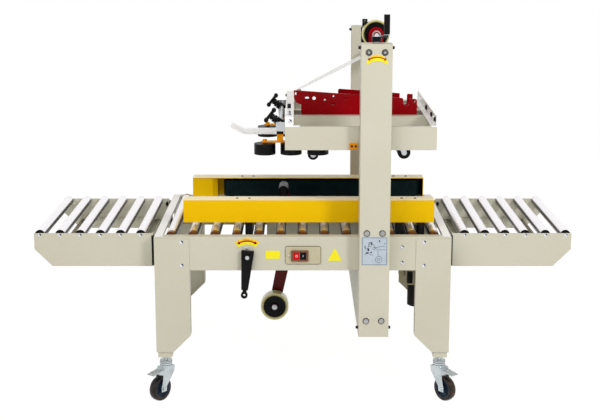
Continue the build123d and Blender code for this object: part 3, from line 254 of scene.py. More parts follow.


# the tubes of the tables and the bed: pale metal with flanks darkened as painted shade and reflection, and ends of
# another colour; the bed rollers' copper ends are a painted reflection
tubeLooks = {
    "tableTubePaintedShade": {"pale": (0.985, 0.975, 0.99), "line": (0.93, 0.92, 0.94), "left": (0.26, 0.23, 0.22),
                  "right": (0.10, 0.09, 0.10), "end": (0.02, 0.02, 0.02), "endWidth": 0.007,
                  "edges": (-0.82, 0.84)},
    "rollerChromePaintedShade": {"pale": (0.96, 0.95, 0.95), "line": (0.80, 0.76, 0.74), "left": (0.30, 0.24, 0.20),
                     "right": (0.10, 0.07, 0.06), "end": (0.44, 0.25, 0.12), "endWidth": 0.060,
                     "edges": (-0.72, 0.66)},
}
tubeGrain = {"lines": (260.0, 4.0, 260.0), "metal": 0.8, "endBlur": 0.0006, "edgeBlur": 0.12}


def tubeFinish(name, endPlace):
    look = tubeLooks[name]
    material, tree, bsdf = startMaterial(name)
    lines = noiseAt(tree, stretched(tree, tubeGrain["lines"]), 1.0, 3.0)
    along = mathNode(tree, "ABSOLUTE", axisPart(tree, objectPlace(tree), "Y"))
    side = facingNormal(tree, "X")
    worn = spread(tree, lines, 0.3, 0.8, 0.0, 0.25)
    base = mixColours(tree, worn, srgb(*look["pale"]), srgb(*look["line"]))
    # the ends take the end colour; on the bed rollers this copper is a painted reflection of the yellow covers
    start = endPlace - look["endWidth"]
    ends = spread(tree, along, start, start + tubeGrain["endBlur"])
    base = mixColours(tree, ends, base, srgb(*look["end"]))
    # painted shade and reflection: the left and right flanks darken by the normal's X
    for paintedShadeFlank, edge, way in (("left", look["edges"][0], -1), ("right", look["edges"][1], 1)):
        shaded = spread(tree, side, edge, edge + way * tubeGrain["edgeBlur"])
        base = mixColours(tree, shaded, base, srgb(*look[paintedShadeFlank]))
    rough = spread(tree, lines, 0.3, 0.7, 0.24, 0.34)
    setSockets(tree, bsdf, {"Base Color": base, "Metallic": tubeGrain["metal"], "Roughness": rough})
    addBump(tree, bsdf, lines, 0.06, metalGrain["bump"], soften=metalGrain["fold"])
    return material


# plastics and rubbers: grain, dust in the grain and a soft edge
softLooks = {
    "blackPlastic": {"colour": (0.03, 0.03, 0.035), "dust": (0.07, 0.07, 0.07), "rough": 0.30, "grain": 700.0,
                     "depth": 0.25},
    "blackRubber": {"colour": (0.035, 0.035, 0.04), "dust": (0.08, 0.08, 0.08), "rough": 0.36, "grain": 350.0,
                    "depth": 0.3},
    # the tread's dust colour is partly dust and partly a painted bronze sheen
    "treadBrown": {"colour": (0.05, 0.035, 0.03), "dust": (0.30, 0.20, 0.12), "rough": 0.24, "grain": 240.0,
                   "depth": 0.25, "shine": 0.3},
    "wheelDisc": {"colour": (0.08, 0.13, 0.19), "dust": (0.20, 0.30, 0.42), "rough": 0.30,
                  "depth": 0.15},
    "driveBelt": {"colour": (0.02, 0.085, 0.095), "dust": (0.03, 0.13, 0.15), "rough": 0.55, "grain": 520.0,
                  "depth": 0.8, "shine": 0.08},
    "switchRed": {"colour": (0.78, 0.05, 0.08), "dust": (0.68, 0.03, 0.06), "rough": 0.25, "grain": 400.0,
                  "depth": 0.05},
    "switchFrame": {"colour": (0.50, 0.33, 0.27), "dust": (0.42, 0.27, 0.22), "rough": 0.45, "grain": 500.0,
                    "depth": 0.15},
    "patchYellow": {"colour": (0.95, 0.91, 0.15), "dust": (0.93, 0.87, 0.12), "rough": 0.35},
    "patchAmber": {"colour": (0.98, 0.78, 0.20), "dust": (0.95, 0.74, 0.18), "rough": 0.35},
    "plateBeige": {"colour": (0.755, 0.73, 0.625), "dust": (0.72, 0.69, 0.59), "rough": 0.42, "grain": 400.0,
                   "depth": 0.12},
    # the next colour is painted shade along the switch plate's rounded edge
    "rimShadeBrown": {"colour": (0.33, 0.29, 0.22), "dust": (0.40, 0.35, 0.27), "rough": 0.5, "grain": 400.0,
                 "depth": 0.1},
    "arrowRed": {"colour": (0.70, 0.12, 0.06), "dust": (0.62, 0.10, 0.05), "rough": 0.35},
    "plateBlue": {"colour": (0.72, 0.77, 0.83), "dust": (0.67, 0.72, 0.79), "rough": 0.38, "grain": 200.0},
    "inkGrey": {"colour": (0.20, 0.22, 0.26), "dust": (0.27, 0.29, 0.33), "rough": 0.5},
    "markWhite": {"colour": (0.93, 0.93, 0.93), "dust": (0.86, 0.86, 0.86), "rough": 0.5},
}
plainSoft = {"shine": 0.12, "grain": 300.0, "depth": 0.04}  # where a look says nothing else
dustGrain = {"dust": 30.0, "dull": 45.0, "bump": 0.0005, "fold": 0.0009}


def mouldedPiece(name):
    look = {**plainSoft, **softLooks[name]}
    material, tree, bsdf = startMaterial(name)
    place = objectPlace(tree)
    dust = spread(tree, noiseAt(tree, place, dustGrain["dust"], 5.0), 0.45, 0.8)
    base = mixColours(tree, dust, srgb(*look["colour"]), srgb(*look["dust"]))
    dull = noiseAt(tree, place, dustGrain["dull"])
    rough = spread(tree, dull, 0.3, 0.7, look["rough"] - 0.07, look["rough"] + 0.1)
    setSockets(tree, bsdf, {"Base Color": base, "Roughness": rough, "Specular IOR Level": look["shine"]})
    grain = noiseAt(tree, place, look["grain"], 2.0)
    addBump(tree, bsdf, grain, look["depth"], dustGrain["bump"], soften=dustGrain["fold"])
    return material


def axisDistance(tree, centre):
    # distance from a roll's axis, which runs along Y
    shifted = vectorNode(tree, "SUBTRACT", objectPlace(tree), centre)[0]
    flat = vectorNode(tree, "MULTIPLY", shifted, (1.0, 0.0, 1.0))[0]
    return vectorNode(tree, "LENGTH", flat)["Value"]


woundLook = {
    "pale": (0.88, 0.87, 0.68),
    "dark": (0.74, 0.71, 0.44),
    "core": (0.50, 0.47, 0.20),
    "coreEdge": 0.0455,
    "coreFade": 0.0070,
    "layers": 900.0,
    "finish": {"Roughness": 0.28, "Subsurface Weight": 0.15, "Subsurface Scale": 0.004, "Coat Weight": 0.4},
}


def woundTape(name, centre):
    # the side of a roll shows its layers as faint rings
    material, tree, bsdf = startMaterial(name)
    distance = axisDistance(tree, centre)
    rings = tree.nodes.new("ShaderNodeTexNoise")
    rings.noise_dimensions = "1D"
    setSockets(tree, rings, {"Scale": woundLook["layers"], "Detail": 3.0, "W": distance})
    layer = spread(tree, rings.outputs["Fac"], 0.35, 0.7)
    wound = mixColours(tree, layer, srgb(*woundLook["pale"]), srgb(*woundLook["dark"]))
    inner = spread(tree, distance, woundLook["coreEdge"], woundLook["coreEdge"] + woundLook["coreFade"])
    base = mixColours(tree, inner, srgb(*woundLook["core"]), wound)
    setSockets(tree, bsdf, {"Base Color": base, **woundLook["finish"]})
    addBump(tree, bsdf, rings.outputs["Fac"], 0.3, 0.0003)
    return material


clearLook = {
    "clear": (0.97, 0.975, 0.99),
    "streak": (0.90, 0.905, 0.93),
    "stretch": (3.0, 160.0, 3.0),
    "ripple": 25.0,
    "finish": {"Alpha": 0.55, "Roughness": 0.12, "Coat Weight": 0.5},
}


def clearFilm(name):
    material, tree, bsdf = startMaterial(name)
    streak = spread(tree, noiseAt(tree, stretched(tree, clearLook["stretch"]), 1.0, 3.0), 0.35, 0.7)
    base = mixColours(tree, streak, srgb(*clearLook["clear"]), srgb(*clearLook["streak"]))
    setSockets(tree, bsdf, {"Base Color": base, **clearLook["finish"]})
    addBump(tree, bsdf, noiseAt(tree, objectPlace(tree), clearLook["ripple"], 2.0), 0.15, 0.001)
    return material


looks = {}
for makeLook, table in ((paintedMetal, paintLooks), (platedMetal, metalLooks), (mouldedPiece, softLooks)):
    for lookName in table:
        looks[lookName] = makeLook(lookName)
looks["clearFilm"] = clearFilm("clearFilm")
looks["coachHeadPaintedReflection"] = coachHeadPaintedReflection("coachHeadPaintedReflection")
looks["tableTubePaintedShade"] = tubeFinish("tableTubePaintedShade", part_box("table_rollers_infeed")[1].y)
looks["rollerChromePaintedShade"] = tubeFinish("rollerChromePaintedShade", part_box("bed_rollers")[1].y)

slotLooks = {
    "cream_paint": "creamPaint", "white_paint": "whitePaint", "roller_chrome": "rollerChromePaintedShade",
    "roller_zinc": "tableTubePaintedShade", "caster_zinc": "casterZinc", "caster_tread": "treadBrown",
    "screw_steel": "turnedSteel", "carriage_iron": "darkCasting", "orange_paint": "orangePaint",
    "red_paint": "redEnamel", "maroon_paint": "maroonEnamel", "arm_steel": "boltZinc",
    "black_rubber": "blackRubber", "black_plastic": "blackPlastic", "clamp_bar_steel": "boltZinc",
    "roll_tape": "clearFilm", "clear_tape": "clearFilm", "yellow_paint": "yellowPaint",
    "drive_belt": "driveBelt", "motor_black": "motorEnamel",
}
nodeLooks = {"switch_panel": "plateBeige"}  # a node whose finish isn't its slot's


def dressNodes():
    for row in frame["record"]["subparts"]:
        node = nodes[row["node"]]
        look = looks[nodeLooks.get(row["node"], slotLooks[row["material_slot"]])]
        node.data.materials.clear()
        node.data.materials.append(look)


dressNodes()
print("finishes made and put on the frame")


# small helpers for added pieces
def faceOutwards(mesh):
    bmesh.ops.recalc_face_normals(mesh, faces=mesh.faces)


def addPiece(name, mesh, materials, body, smooth=True, angle=35.0):
    data = bpy.data.meshes.new(name)
    mesh.normal_update()
    mesh.to_mesh(data)
    mesh.free()
    for material in materials:
        data.materials.append(looks[material])
    piece = bpy.data.objects.new(name, data)
    bpy.context.scene.collection.objects.link(piece)
    if smooth:
        data.shade_smooth()
        data.set_sharp_from_angle(angle=math.radians(angle))
    if body:
        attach(piece, body)
    return piece


def jointOf(child):
    return next(joint for joint in frame["joints"] if joint["child"] == child)


def outerFace(box, facing):
    # the Y of a box's outer face: facing is -1 at the operator's side and 1 behind
    return box[0].y if facing < 0 else box[1].y


def aim(place, axis, spin=0.0):
    # turns local +Z to point along the axis
    turn = Vector(axis).to_track_quat("Z", "Y").to_matrix().to_4x4()
    return Matrix.Translation(place) @ turn @ Matrix.Rotation(spin, 4, "Z")


def aroundAxis(face, count, radius, height):
    # places spread evenly round the local Z axis
    turns = (Matrix.Rotation(2 * math.pi * i / count, 4, "Z") for i in range(count))
    return [face @ turn @ Matrix.Translation((radius, 0, height)) for turn in turns]


def ringAt(mesh, radius, height, matrix, segments):
    turns = (2 * math.pi * i / segments for i in range(segments))
    places = (Vector((radius * math.cos(a), radius * math.sin(a), height)) for a in turns)
    return [mesh.verts.new(matrix @ place) for place in places]


def skin(mesh, rings, slot=0):
    # four-sided faces between each ring of points and the next
    for low, high in zip(rings, rings[1:]):
        for i in range(len(low)):
            j = (i + 1) % len(low)
            mesh.faces.new((low[i], low[j], high[j], high[i])).material_index = slot


def lathe(mesh, profile, matrix, segments=32, slot=0):
    # profile is radius and height; where the radius is 0 the surface closes on the axis
    rings = []
    for radius, height in profile:
        if radius < 1e-6:
            rings.append([mesh.verts.new(matrix @ Vector((0, 0, height)))])
        else:
            rings.append(ringAt(mesh, radius, height, matrix, segments))
    for low, high in zip(rings, rings[1:]):
        if len(low) == len(high):
            skin(mesh, [low, high], slot)
            continue
        tip, rim = (low[0], high) if len(low) == 1 else (high[0], low)
        for i in range(segments):
            mesh.faces.new((tip, rim[i], rim[(i + 1) % segments])).material_index = slot


def closedLathe(mesh, profile, matrix, segments=32, slot=0):
    # a ring section that closes on itself
    rings = [ringAt(mesh, radius, height, matrix, segments) for radius, height in profile]
    skin(mesh, rings + rings[:1], slot)


def slab(mesh, outline, matrix, depth, slot=0):
    # a flat plate with its outline in local X and Y, standing up from local Z 0
    low = [mesh.verts.new(matrix @ Vector((x, y, 0))) for x, y in outline]
    high = [mesh.verts.new(matrix @ Vector((x, y, depth))) for x, y in outline]
    mesh.faces.new(list(reversed(low))).material_index = slot
    mesh.faces.new(high).material_index = slot
    skin(mesh, [low, high], slot)


def oblong(x0, x1, y0, y1):
    return [(x0, y0), (x1, y0), (x1, y1), (x0, y1)]


def roundedOutline(width, height, radius, steps=5):
    points = []
    for cx, cy, start in ((1, 1, 0), (-1, 1, 90), (-1, -1, 180), (1, -1, 270)):
        for i in range(steps + 1):
            a = math.radians(start + 90 * i / steps)
            points.append((cx * (width / 2 - radius) + radius * math.cos(a),
                           cy * (height / 2 - radius) + radius * math.sin(a)))
    return points


def frontFace(x, y, z):
    # a face towards the operator: local X is +X, local Y is +Z, local Z is -Y
    return Matrix(((1, 0, 0, x), (0, 0, -1, y), (0, 1, 0, z), (0, 0, 0, 1)))


def block(mesh, low, high, slot=0):
    slab(mesh, oblong(low[0], high[0], low[2], high[2]), frontFace(0, high[1], 0), high[1] - low[1], slot)


# the shapes of bolt heads and washers; heights count from the face they stand on
headShape = {
    "sunk": -0.0003,
    "hexWasher": {"top": 0.0012, "edge": 0.0008, "bevel": 0.0004},
    "hex": {"foot": 0.0008, "seat": 0.0011, "flat": 0.86, "corner": 0.16},
    "dome": {"washer": 1.18, "washerTop": 0.0006, "foot": 0.0009, "steps": 5},
    "ringBevel": 0.0003,
    "pan": ((1.0, 0.0005), (0.86, 0.0017), (0.55, 0.0024), (0.5, 0.0016), (0.0, 0.0012)),
    "cross": {"wide": 0.55, "thin": 0.12, "foot": 0.0012, "height": 0.0010},
}


def hexBolt(mesh, place, axis, size, height, spin=0.3, washer=1.35, slot=0):
    matrix = aim(place, axis, spin)
    sunk = headShape["sunk"]
    if washer > 0:
        shape = headShape["hexWasher"]
        wide = size * washer
        lathe(mesh, [(0, shape["top"]), (wide, shape["top"]), (wide + shape["bevel"], shape["edge"]),
                     (wide + shape["bevel"], sunk), (0, sunk)], matrix, 24, slot)
    shape = headShape["hex"]
    top = shape["seat"] + height
    lathe(mesh, [(0, top), (size * shape["flat"], top), (size, top - size * shape["corner"]),
                 (size, shape["foot"]), (0, shape["foot"])], matrix, 6, slot)


def domeBolt(mesh, place, axis, size, height=0.004, slot=0):
    # a round coach bolt head on a thin washer
    shape = headShape["dome"]
    wide = size * shape["washer"]
    sunk = headShape["sunk"]
    profile = [(0, sunk), (wide, sunk), (wide, shape["washerTop"]), (size, shape["foot"])]
    for i in range(1, shape["steps"]):
        a = math.radians(90 * i / shape["steps"])
        profile.append((size * math.cos(a), shape["foot"] + height * math.sin(a)))
    profile.append((0, shape["foot"] + height))
    lathe(mesh, profile, aim(place, axis), 24, slot)


def washer(mesh, place, axis, outer, inner, thick, slot=0):
    sunk = headShape["sunk"]
    profile = [(outer, sunk), (outer, thick * 0.7), (outer - headShape["ringBevel"], thick), (inner, thick),
               (inner, sunk)]
    closedLathe(mesh, profile, aim(place, axis), 28, slot)


def panScrew(mesh, place, axis, size, spin=0.6, slot=0):
    # a domed head with a cross recess
    matrix = aim(place, axis, spin)
    profile = [(0, headShape["sunk"]), (size, headShape["sunk"])]
    profile += [(size * share, height) for share, height in headShape["pan"]]
    lathe(mesh, profile, matrix, 20, slot)
    cross = headShape["cross"]
    wide = size * cross["wide"]
    thin = size * cross["thin"]
    for turn in (0.0, math.pi / 2):
        bar = matrix @ Matrix.Rotation(turn, 4, "Z") @ Matrix.Translation((0, 0, cross["foot"]))
        slab(mesh, oblong(-wide, wide, -thin, thin), bar, cross["height"], slot)


sides = (("front", -1), ("back", 1))
towardsFront = (0, -1, 0)
upwards = (0, 0, 1)

# bolts of the fixed frame: hex is size and height, a ring is outer radius, inner radius and thickness
boltLayout = {
    "legInset": 0.0285,
    "legHeights": (0.612, 0.524),
    "legDome": 0.00682,
    "mastSpread": 0.028,
    "mastHeights": (1.311, 0.662, 0.333),
    "mastRing": (0.0118, 0.0098, 0.0012),
    "topRing": (0.0084, 0.0052, 0.0003),
    "topRingOut": 0.005,
    "mastEnds": (0.026, 0.015),
    "mastHex": (0.0058, 0.008),
    "guideInset": 0.007,
    "guideHeights": (0.594, 0.535),
    "guideDome": 0.0064,
}


def frameBolts():
    mesh = bmesh.new()
    for side, facing in sides:
        out = (0, facing, 0)
        for end in ("infeed", "discharge"):
            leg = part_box("leg_%s_%s" % (end, side))
            x = leg[1].x - boltLayout["legInset"] if end == "infeed" else leg[0].x + boltLayout["legInset"]
            for z in boltLayout["legHeights"]:
                domeBolt(mesh, (x, outerFace(leg, facing), z), out, boltLayout["legDome"])
        low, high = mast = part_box("mast_" + side)
        middle = (low + high) / 2
        y = outerFace(mast, facing)
        for z in boltLayout["mastHeights"]:
            for x in (middle.x - boltLayout["mastSpread"], middle.x + boltLayout["mastSpread"]):
                washer(mesh, (x, y, z), out, *boltLayout["mastRing"], slot=1)
                if z == max(boltLayout["mastHeights"]):
                    place = (x, y + facing * boltLayout["topRingOut"], z)
                    washer(mesh, place, out, *boltLayout["topRing"], slot=1)
        for z in (low.z + boltLayout["mastEnds"][0], high.z - boltLayout["mastEnds"][1]):
            for x, way in ((low.x, -1), (high.x, 1)):
                hexBolt(mesh, (x, middle.y, z), (way, 0, 0), *boltLayout["mastHex"], spin=z, slot=1)
        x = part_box("belt_guides")[1].x - boltLayout["guideInset"]
        y = outerFace(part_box("bed_side_" + side), facing)
        for z in boltLayout["guideHeights"]:
            domeBolt(mesh, (x, y, z), out, boltLayout["guideDome"])
    addPiece("frame_bolts", mesh, ["coachHeadPaintedReflection", "darkBolt"], "frame")


frameBolts()

tableBoltLayout = {"count": 6, "rollRadius": 0.019, "dome": (0.0056, 0.003)}


def tableBolts():
    # one bolt at each end of every table roller
    mesh = bmesh.new()
    for end in ("infeed", "discharge"):
        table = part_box("table_frame_" + end)
        low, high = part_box("table_rollers_" + end)
        first = low.x + tableBoltLayout["rollRadius"]
        last = high.x - tableBoltLayout["rollRadius"]
        for i in range(tableBoltLayout["count"]):
            x = first + (last - first) * i / (tableBoltLayout["count"] - 1)
            for facing in (-1, 1):
                place = (x, outerFace(table, facing), (low.z + high.z) / 2)
                domeBolt(mesh, place, (0, facing, 0), *tableBoltLayout["dome"])
    addPiece("table_roller_bolts", mesh, ["coachHeadPaintedReflection"], "frame")


tableBolts()

# bolts of the head that rises; insets, drops and lifts count from the beams' own boxes
headBoltLayout = {
    "infeed": {"inset": 0.020, "drop": 0.016, "hex": (0.006, 0.005)},
    "rail": {"inset": 0.018, "lift": 0.062, "dome": 0.0065},
    "stud": {"place": (-0.0505, -0.146), "hex": (0.0070, 0.015)},
    "nut": {"place": (-0.0500, -0.320), "hex": (0.0075, 0.012)},
    "end": {"places": (0.291, 0.081, -0.081, -0.291), "drop": 0.059, "hex": (0.0062, 0.004)},
    "plate": {"places": ((0.227, 1.025), (0.036, 1.027), (-0.021, 1.059), (-0.223, 1.061), (-0.341, 1.060)),
              "hex": (0.0085, 0.006)},
    "guide": {"shift": 0.00715, "hex": (0.0042, 0.002)},
    "faceInset": 0.003,
    "spinPerMetre": 30,
}


def headBolts():
    mesh = bmesh.new()
    low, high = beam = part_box("head_end_infeed")
    look = headBoltLayout["infeed"]
    for y in (low.y + look["inset"], high.y - look["inset"]):
        hexBolt(mesh, (low.x, y, high.z - look["drop"]), (-1, 0, 0), *look["hex"], spin=y, slot=1)
    look = headBoltLayout["rail"]
    for facing in (-1, 1):
        place = (low.x + look["inset"], outerFace(beam, facing), low.z + look["lift"])
        domeBolt(mesh, place, (0, facing, 0), look["dome"])
    look = headBoltLayout["stud"]
    hexBolt(mesh, (*look["place"], high.z), upwards, *look["hex"], spin=0.2, washer=1.1, slot=1)
    look = headBoltLayout["nut"]
    hexBolt(mesh, (*look["place"], high.z), upwards, *look["hex"], spin=0.4, washer=1.3)
    low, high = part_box("head_end_discharge")
    x = high.x - headBoltLayout["faceInset"]
    turn = headBoltLayout["spinPerMetre"]
    look = headBoltLayout["end"]
    for y in look["places"]:
        hexBolt(mesh, (x, y, high.z - look["drop"]), (-1, 0, 0), *look["hex"], spin=y * turn)
    look = headBoltLayout["plate"]
    for y, z in look["places"]:
        hexBolt(mesh, (x, y, z), (-1, 0, 0), *look["hex"], spin=y * turn, slot=1)
    look = headBoltLayout["guide"]
    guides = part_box("guide_blocks")
    middle = (guides[0] + guides[1]) / 2
    for facing in (-1, 1):
        for shift in (-1, 1):
            place = (middle.x + shift * look["shift"], outerFace(guides, facing), middle.z)
            hexBolt(mesh, place, (0, facing, 0), *look["hex"], spin=shift, washer=0, slot=1)
    addPiece("head_bolts", mesh, ["coachHeadPaintedReflection", "darkBolt"], "head")


headBolts()

coverScrewLayout = {"fromInfeed": (0.246, 0.200), "fromDischarge": (0.120, 0.070), "size": 0.0052,
                    "spinPerMetre": 20}


def coverScrews():
    look = coverScrewLayout
    for side in ("front", "back"):
        mesh = bmesh.new()
        low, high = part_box("belt_cover_" + side)
        places = [low.x + inset for inset in look["fromInfeed"]]
        places += [high.x - inset for inset in look["fromDischarge"]]
        for x in places:
            place = (x, (low.y + high.y) / 2, high.z)
            panScrew(mesh, place, upwards, look["size"], spin=x * look["spinPerMetre"])
        addPiece("cover_screws_" + side, mesh, ["darkBolt"], side + "_belt_unit")


coverScrews()
print("fasteners added")

# plain patches on the mast and the bed; an arc is radius, half angle and drop below the patch's top
patchThick = 0.0004
turnPatches = {
    "mast_turn_patch": {
        "node": "mast_front", "top": (0.2601, 1.3040), "steps": 16, "outward": True,
        "outer": (0.0391, 81.0, 0.0), "inner": (0.0480, 41.0, 0.0226),
        "amberOuter": (0.0379, 48.6, 0.0012), "amberInner": (0.0550, 30.0, 0.0105),
        "arrow": (0.061, 25.0, 0.0100), "arrowWidth": 0.0036, "head": (0.0085, 0.0066),
    },
    "bed_turn_patch": {
        "node": "bed_side_front", "top": (-0.2035, 0.6270), "steps": 14, "outward": False,
        "outer": (0.0740, 38.0, 0.0), "inner": (0.0500, 38.0, 0.0240),
        "amberOuter": (0.07352, 36.0, 0.00048), "amberInner": (0.06296, 36.0, 0.01104),
        "arrow": (0.063, 26.0, 0.0110), "arrowWidth": 0.0050, "head": (0.0090, 0.0065),
    },
}


def arcBand(upper, lower, steps):
    # the outline between two arcs
    rows = []
    for radius, half, drop in (upper, lower):
        turns = [math.radians(-half + 2 * half * i / steps) for i in range(steps + 1)]
        rows.append([(radius * math.sin(a), radius * math.cos(a) - radius - drop) for a in turns])
    return rows[0][::-1] + rows[1]


def turnPatch(name, look):
    # a yellow arc with a double arrow that shows both ways a crank turns; without the outward turn
    # the arrow's heads come out dark
    steps = look["steps"]
    base = frontFace(look["top"][0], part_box(look["node"])[0].y, look["top"][1])
    mesh = bmesh.new()
    slab(mesh, arcBand(look["outer"], look["inner"], steps), base, patchThick, 0)
    amber = base @ Matrix.Translation((0, 0, patchThick))
    slab(mesh, arcBand(look["amberOuter"], look["amberInner"], steps), amber, patchThick / 4, 2)
    radius, half, drop = look["arrow"]
    wide = look["arrowWidth"] / 2
    arrow = base @ Matrix.Translation((0, 0, patchThick * 1.25))
    band = arcBand((radius + wide, half, drop - wide), (radius - wide, half, drop + wide), steps)
    slab(mesh, band, arrow, patchThick / 2, 1)
    for way in (-1, 1):
        a = math.radians(half) * way
        end = Vector((radius * math.sin(a), radius * math.cos(a) - radius - drop))
        along = Vector((math.cos(a), -math.sin(a))) * way * look["head"][0]
        out = Vector((math.sin(a), math.cos(a))) * look["head"][1]
        corners = [tuple(p) for p in (end + along, end + out, end - out)]
        slab(mesh, corners[::-way], arrow, patchThick / 2, 1)
    if look["outward"]:
        faceOutwards(mesh)
    colours = ["patchYellow", "arrowRed", "patchAmber"]
    addPiece(name, mesh, colours, "frame", smooth=False)


for patchName, patchLook in turnPatches.items():
    turnPatch(patchName, patchLook)

# a corner of the triangle is its place and the angle in degrees where its rounding starts
bareLook = {
    "oblong": {"place": (-0.1095, 0.5645), "size": (0.053, 0.031), "corner": 0.002},
    "triangle": {"place": (0.118, 0.562), "corner": 0.0025,
                 "corners": ((-0.0225, -0.018, 150), (0.0225, -0.018, -90), (0.0, 0.0234, 30))},
}


def barePatches():
    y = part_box("bed_side_front")[0].y
    mesh = bmesh.new()
    look = bareLook["oblong"]
    x, z = look["place"]
    slab(mesh, roundedOutline(*look["size"], look["corner"]), frontFace(x, y, z), patchThick)
    look = bareLook["triangle"]
    x, z = look["place"]
    outline = []
    for cx, cy, start in look["corners"]:
        for step in range(5):
            a = math.radians(start + 120 * step / 4)
            outline.append((cx + look["corner"] * math.cos(a), cy + look["corner"] * math.sin(a)))
    slab(mesh, outline, frontFace(x, y, z), patchThick)
    addPiece("bed_bare_patches", mesh, ["patchYellow"], "frame", smooth=False)


barePatches()

# places on the plate count from its middle; a ring is place and radius, a mark place and size
diagramLook = {
    "place": (0.259, 0.596),
    "size": (0.096, 0.108),
    "corner": 0.003,
    "thick": 0.0006,
    "ink": 0.0002,
    "line": 0.0012,
    "border": (0.0445, 0.0505),
    "rings": ((0.016, -0.031, 0.0125), (-0.016, 0.022, 0.006), (-0.002, 0.010, 0.005),
              (0.016, -0.031, 0.005)),
    "marks": ((-0.022, 0.006, 0.006, 0.010), (-0.026, -0.006, 0.010, 0.005), (-0.010, 0.028, 0.004, 0.010),
              (0.018, 0.038, 0.005, 0.006), (0.037, 0.028, 0.003, 0.004), (-0.012, -0.004, 0.006, 0.005),
              (-0.034, 0.015, 0.003, 0.012)),
    "path": ((-0.034, 0.004), (-0.022, 0.016), (-0.016, 0.034), (-0.004, 0.026), (0.002, 0.014),
             (0.012, 0.004), (0.014, -0.018)),
    "strokes": (((0.002, 0.014), (0.038, 0.019)), ((-0.036, -0.012), (-0.018, -0.006)),
                ((0.014, 0.006), (0.040, 0.006)), ((-0.024, 0.030), (-0.008, 0.036)),
                ((-0.018, -0.010), (-0.004, -0.016))),
}


def diagramPlate():
    # a pale plate with a plain line drawing of how the strip runs
    look = diagramLook
    thin = look["line"]
    mesh = bmesh.new()
    face = frontFace(look["place"][0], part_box("mast_front")[0].y, look["place"][1])
    slab(mesh, roundedOutline(*look["size"], look["corner"]), face, look["thick"], 0)
    ink = face @ Matrix.Translation((0, 0, look["thick"]))
    w, h = look["border"]
    for edges in ((-w, w, h - thin, h), (-w, w, -h, thin - h), (-w, thin - w, -h, h), (w - thin, w, -h, h)):
        slab(mesh, oblong(*edges), ink, look["ink"], 1)
    for x, y, r in look["rings"]:
        profile = [(r, 0), (r, look["ink"]), (r - thin, look["ink"]), (r - thin, 0)]
        closedLathe(mesh, profile, ink @ Matrix.Translation((x, y, 0)), 28, 1)
    for x, y, wide, tall in look["marks"]:
        slab(mesh, roundedOutline(wide, tall, thin, 2), ink @ Matrix.Translation((x, y, 0)), look["ink"], 1)
    for a, b in list(zip(look["path"], look["path"][1:])) + list(look["strokes"]):
        a, b = Vector(a), Vector(b)
        along = (b - a).normalized()
        side = Vector((-along.y, along.x)) * thin / 2
        slab(mesh, [tuple(p) for p in (b + side, b - side, a - side, a + side)], ink, look["ink"], 1)
    colours = ["plateBlue", "inkGrey"]
    addPiece("mast_diagram_plate", mesh, colours, "frame", smooth=False)


diagramPlate()
print("patches added")

# the tape rolls; a hub step is a share of the hub's radius, what is added, and a height above the tape
rollLook = {
    "width": 0.048,
    "edge": 0.0008,
    "gap": 0.0005,
    "upper": {"node": "upper_tape_roll", "hub": 0.0455},
    "lower": {"node": "lower_tape_roll", "hub": 0.044},
    "hubSteps": ((0, 0.0068, 0.0019), (0, 0.0135, 0.0019), (0, 0.0160, -0.001), (0, 0.0165, -0.0055),
                 (0.62, 0, -0.0062), (0.66, 0, -0.0035), (0.82, 0, -0.0035), (0.86, 0, -0.0006),
                 (1, -0.001, 0.0004), (1, 0, -0.0006)),
    "spokes": {"count": 6, "middle": 0.4, "length": 0.5, "width": 0.0032, "corner": 0.0012, "sunk": 0.006,
               "height": 0.003},
}


def tapeRoll(name, look):
    low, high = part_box(look["node"])
    centre = (low + high) / 2
    outer = (high.x - low.x) / 2
    half = rollLook["width"] / 2
    edge = rollLook["edge"]
    hub = look["hub"]
    looks[name + "Tape"] = woundTape(name + "Tape", tuple(centre))
    axis = aim(centre, (0, 1, 0))
    mesh = bmesh.new()
    side = [(hub + rollLook["gap"], half - edge), (outer - edge, half - edge), (outer, half - 2 * edge)]
    closedLathe(mesh, [(r, -h) for r, h in side] + side[::-1], axis, 72)
    tape = addPiece(name + "_tape", mesh, [name + "Tape"], look["node"])
    mesh = bmesh.new()
    spokes = rollLook["spokes"]
    for way in (-1, 1):
        face = axis @ Matrix.Scale(way, 4, (0, 0, 1))
        profile = [(hub * share + more, half + rise) for share, more, rise in rollLook["hubSteps"]]
        lathe(mesh, profile + [(hub, 0.0)], face, 56)
        for place in aroundAxis(face, spokes["count"], hub * spokes["middle"], half - spokes["sunk"]):
            outline = roundedOutline(hub * spokes["length"], spokes["width"], spokes["corner"], 3)
            slab(mesh, outline, place, spokes["height"])
    faceOutwards(mesh)
    addPiece(name + "_hub", mesh, ["blackPlastic"], look["node"])
    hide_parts(look["node"])


rollNutLook = {
    "upper": {"node": "roll_holder", "place": (0.280, 1.340), "dome": (0.0058, 0.004),
              "ring": (0.0165, 0.0112, 0.0018), "ringBack": 0.007},
    "lower": {"node": "lower_roll_arm", "place": (-0.111, 0.258), "dome": (0.0040, 0.003), "domeOut": 0.007,
              "hex": (0.0088, 0.006)},
}


def rollNuts():
    # a bright nut at the front of each roll's pin
    look = rollNutLook["upper"]
    x, z = look["place"]
    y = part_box(look["node"])[0].y
    mesh = bmesh.new()
    washer(mesh, (x, y + look["ringBack"], z), towardsFront, *look["ring"])
    domeBolt(mesh, (x, y, z), towardsFront, *look["dome"])
    addPiece("upper_roll_nut", mesh, ["boltZinc"], "frame")
    look = rollNutLook["lower"]
    x, z = look["place"]
    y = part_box(look["node"])[0].y
    mesh = bmesh.new()
    hexBolt(mesh, (x, y, z), towardsFront, *look["hex"], spin=0.4, washer=1.15)
    domeBolt(mesh, (x, y - look["domeOut"], z), towardsFront, *look["dome"])
    addPiece("lower_roll_nut", mesh, ["boltZinc"], "frame")


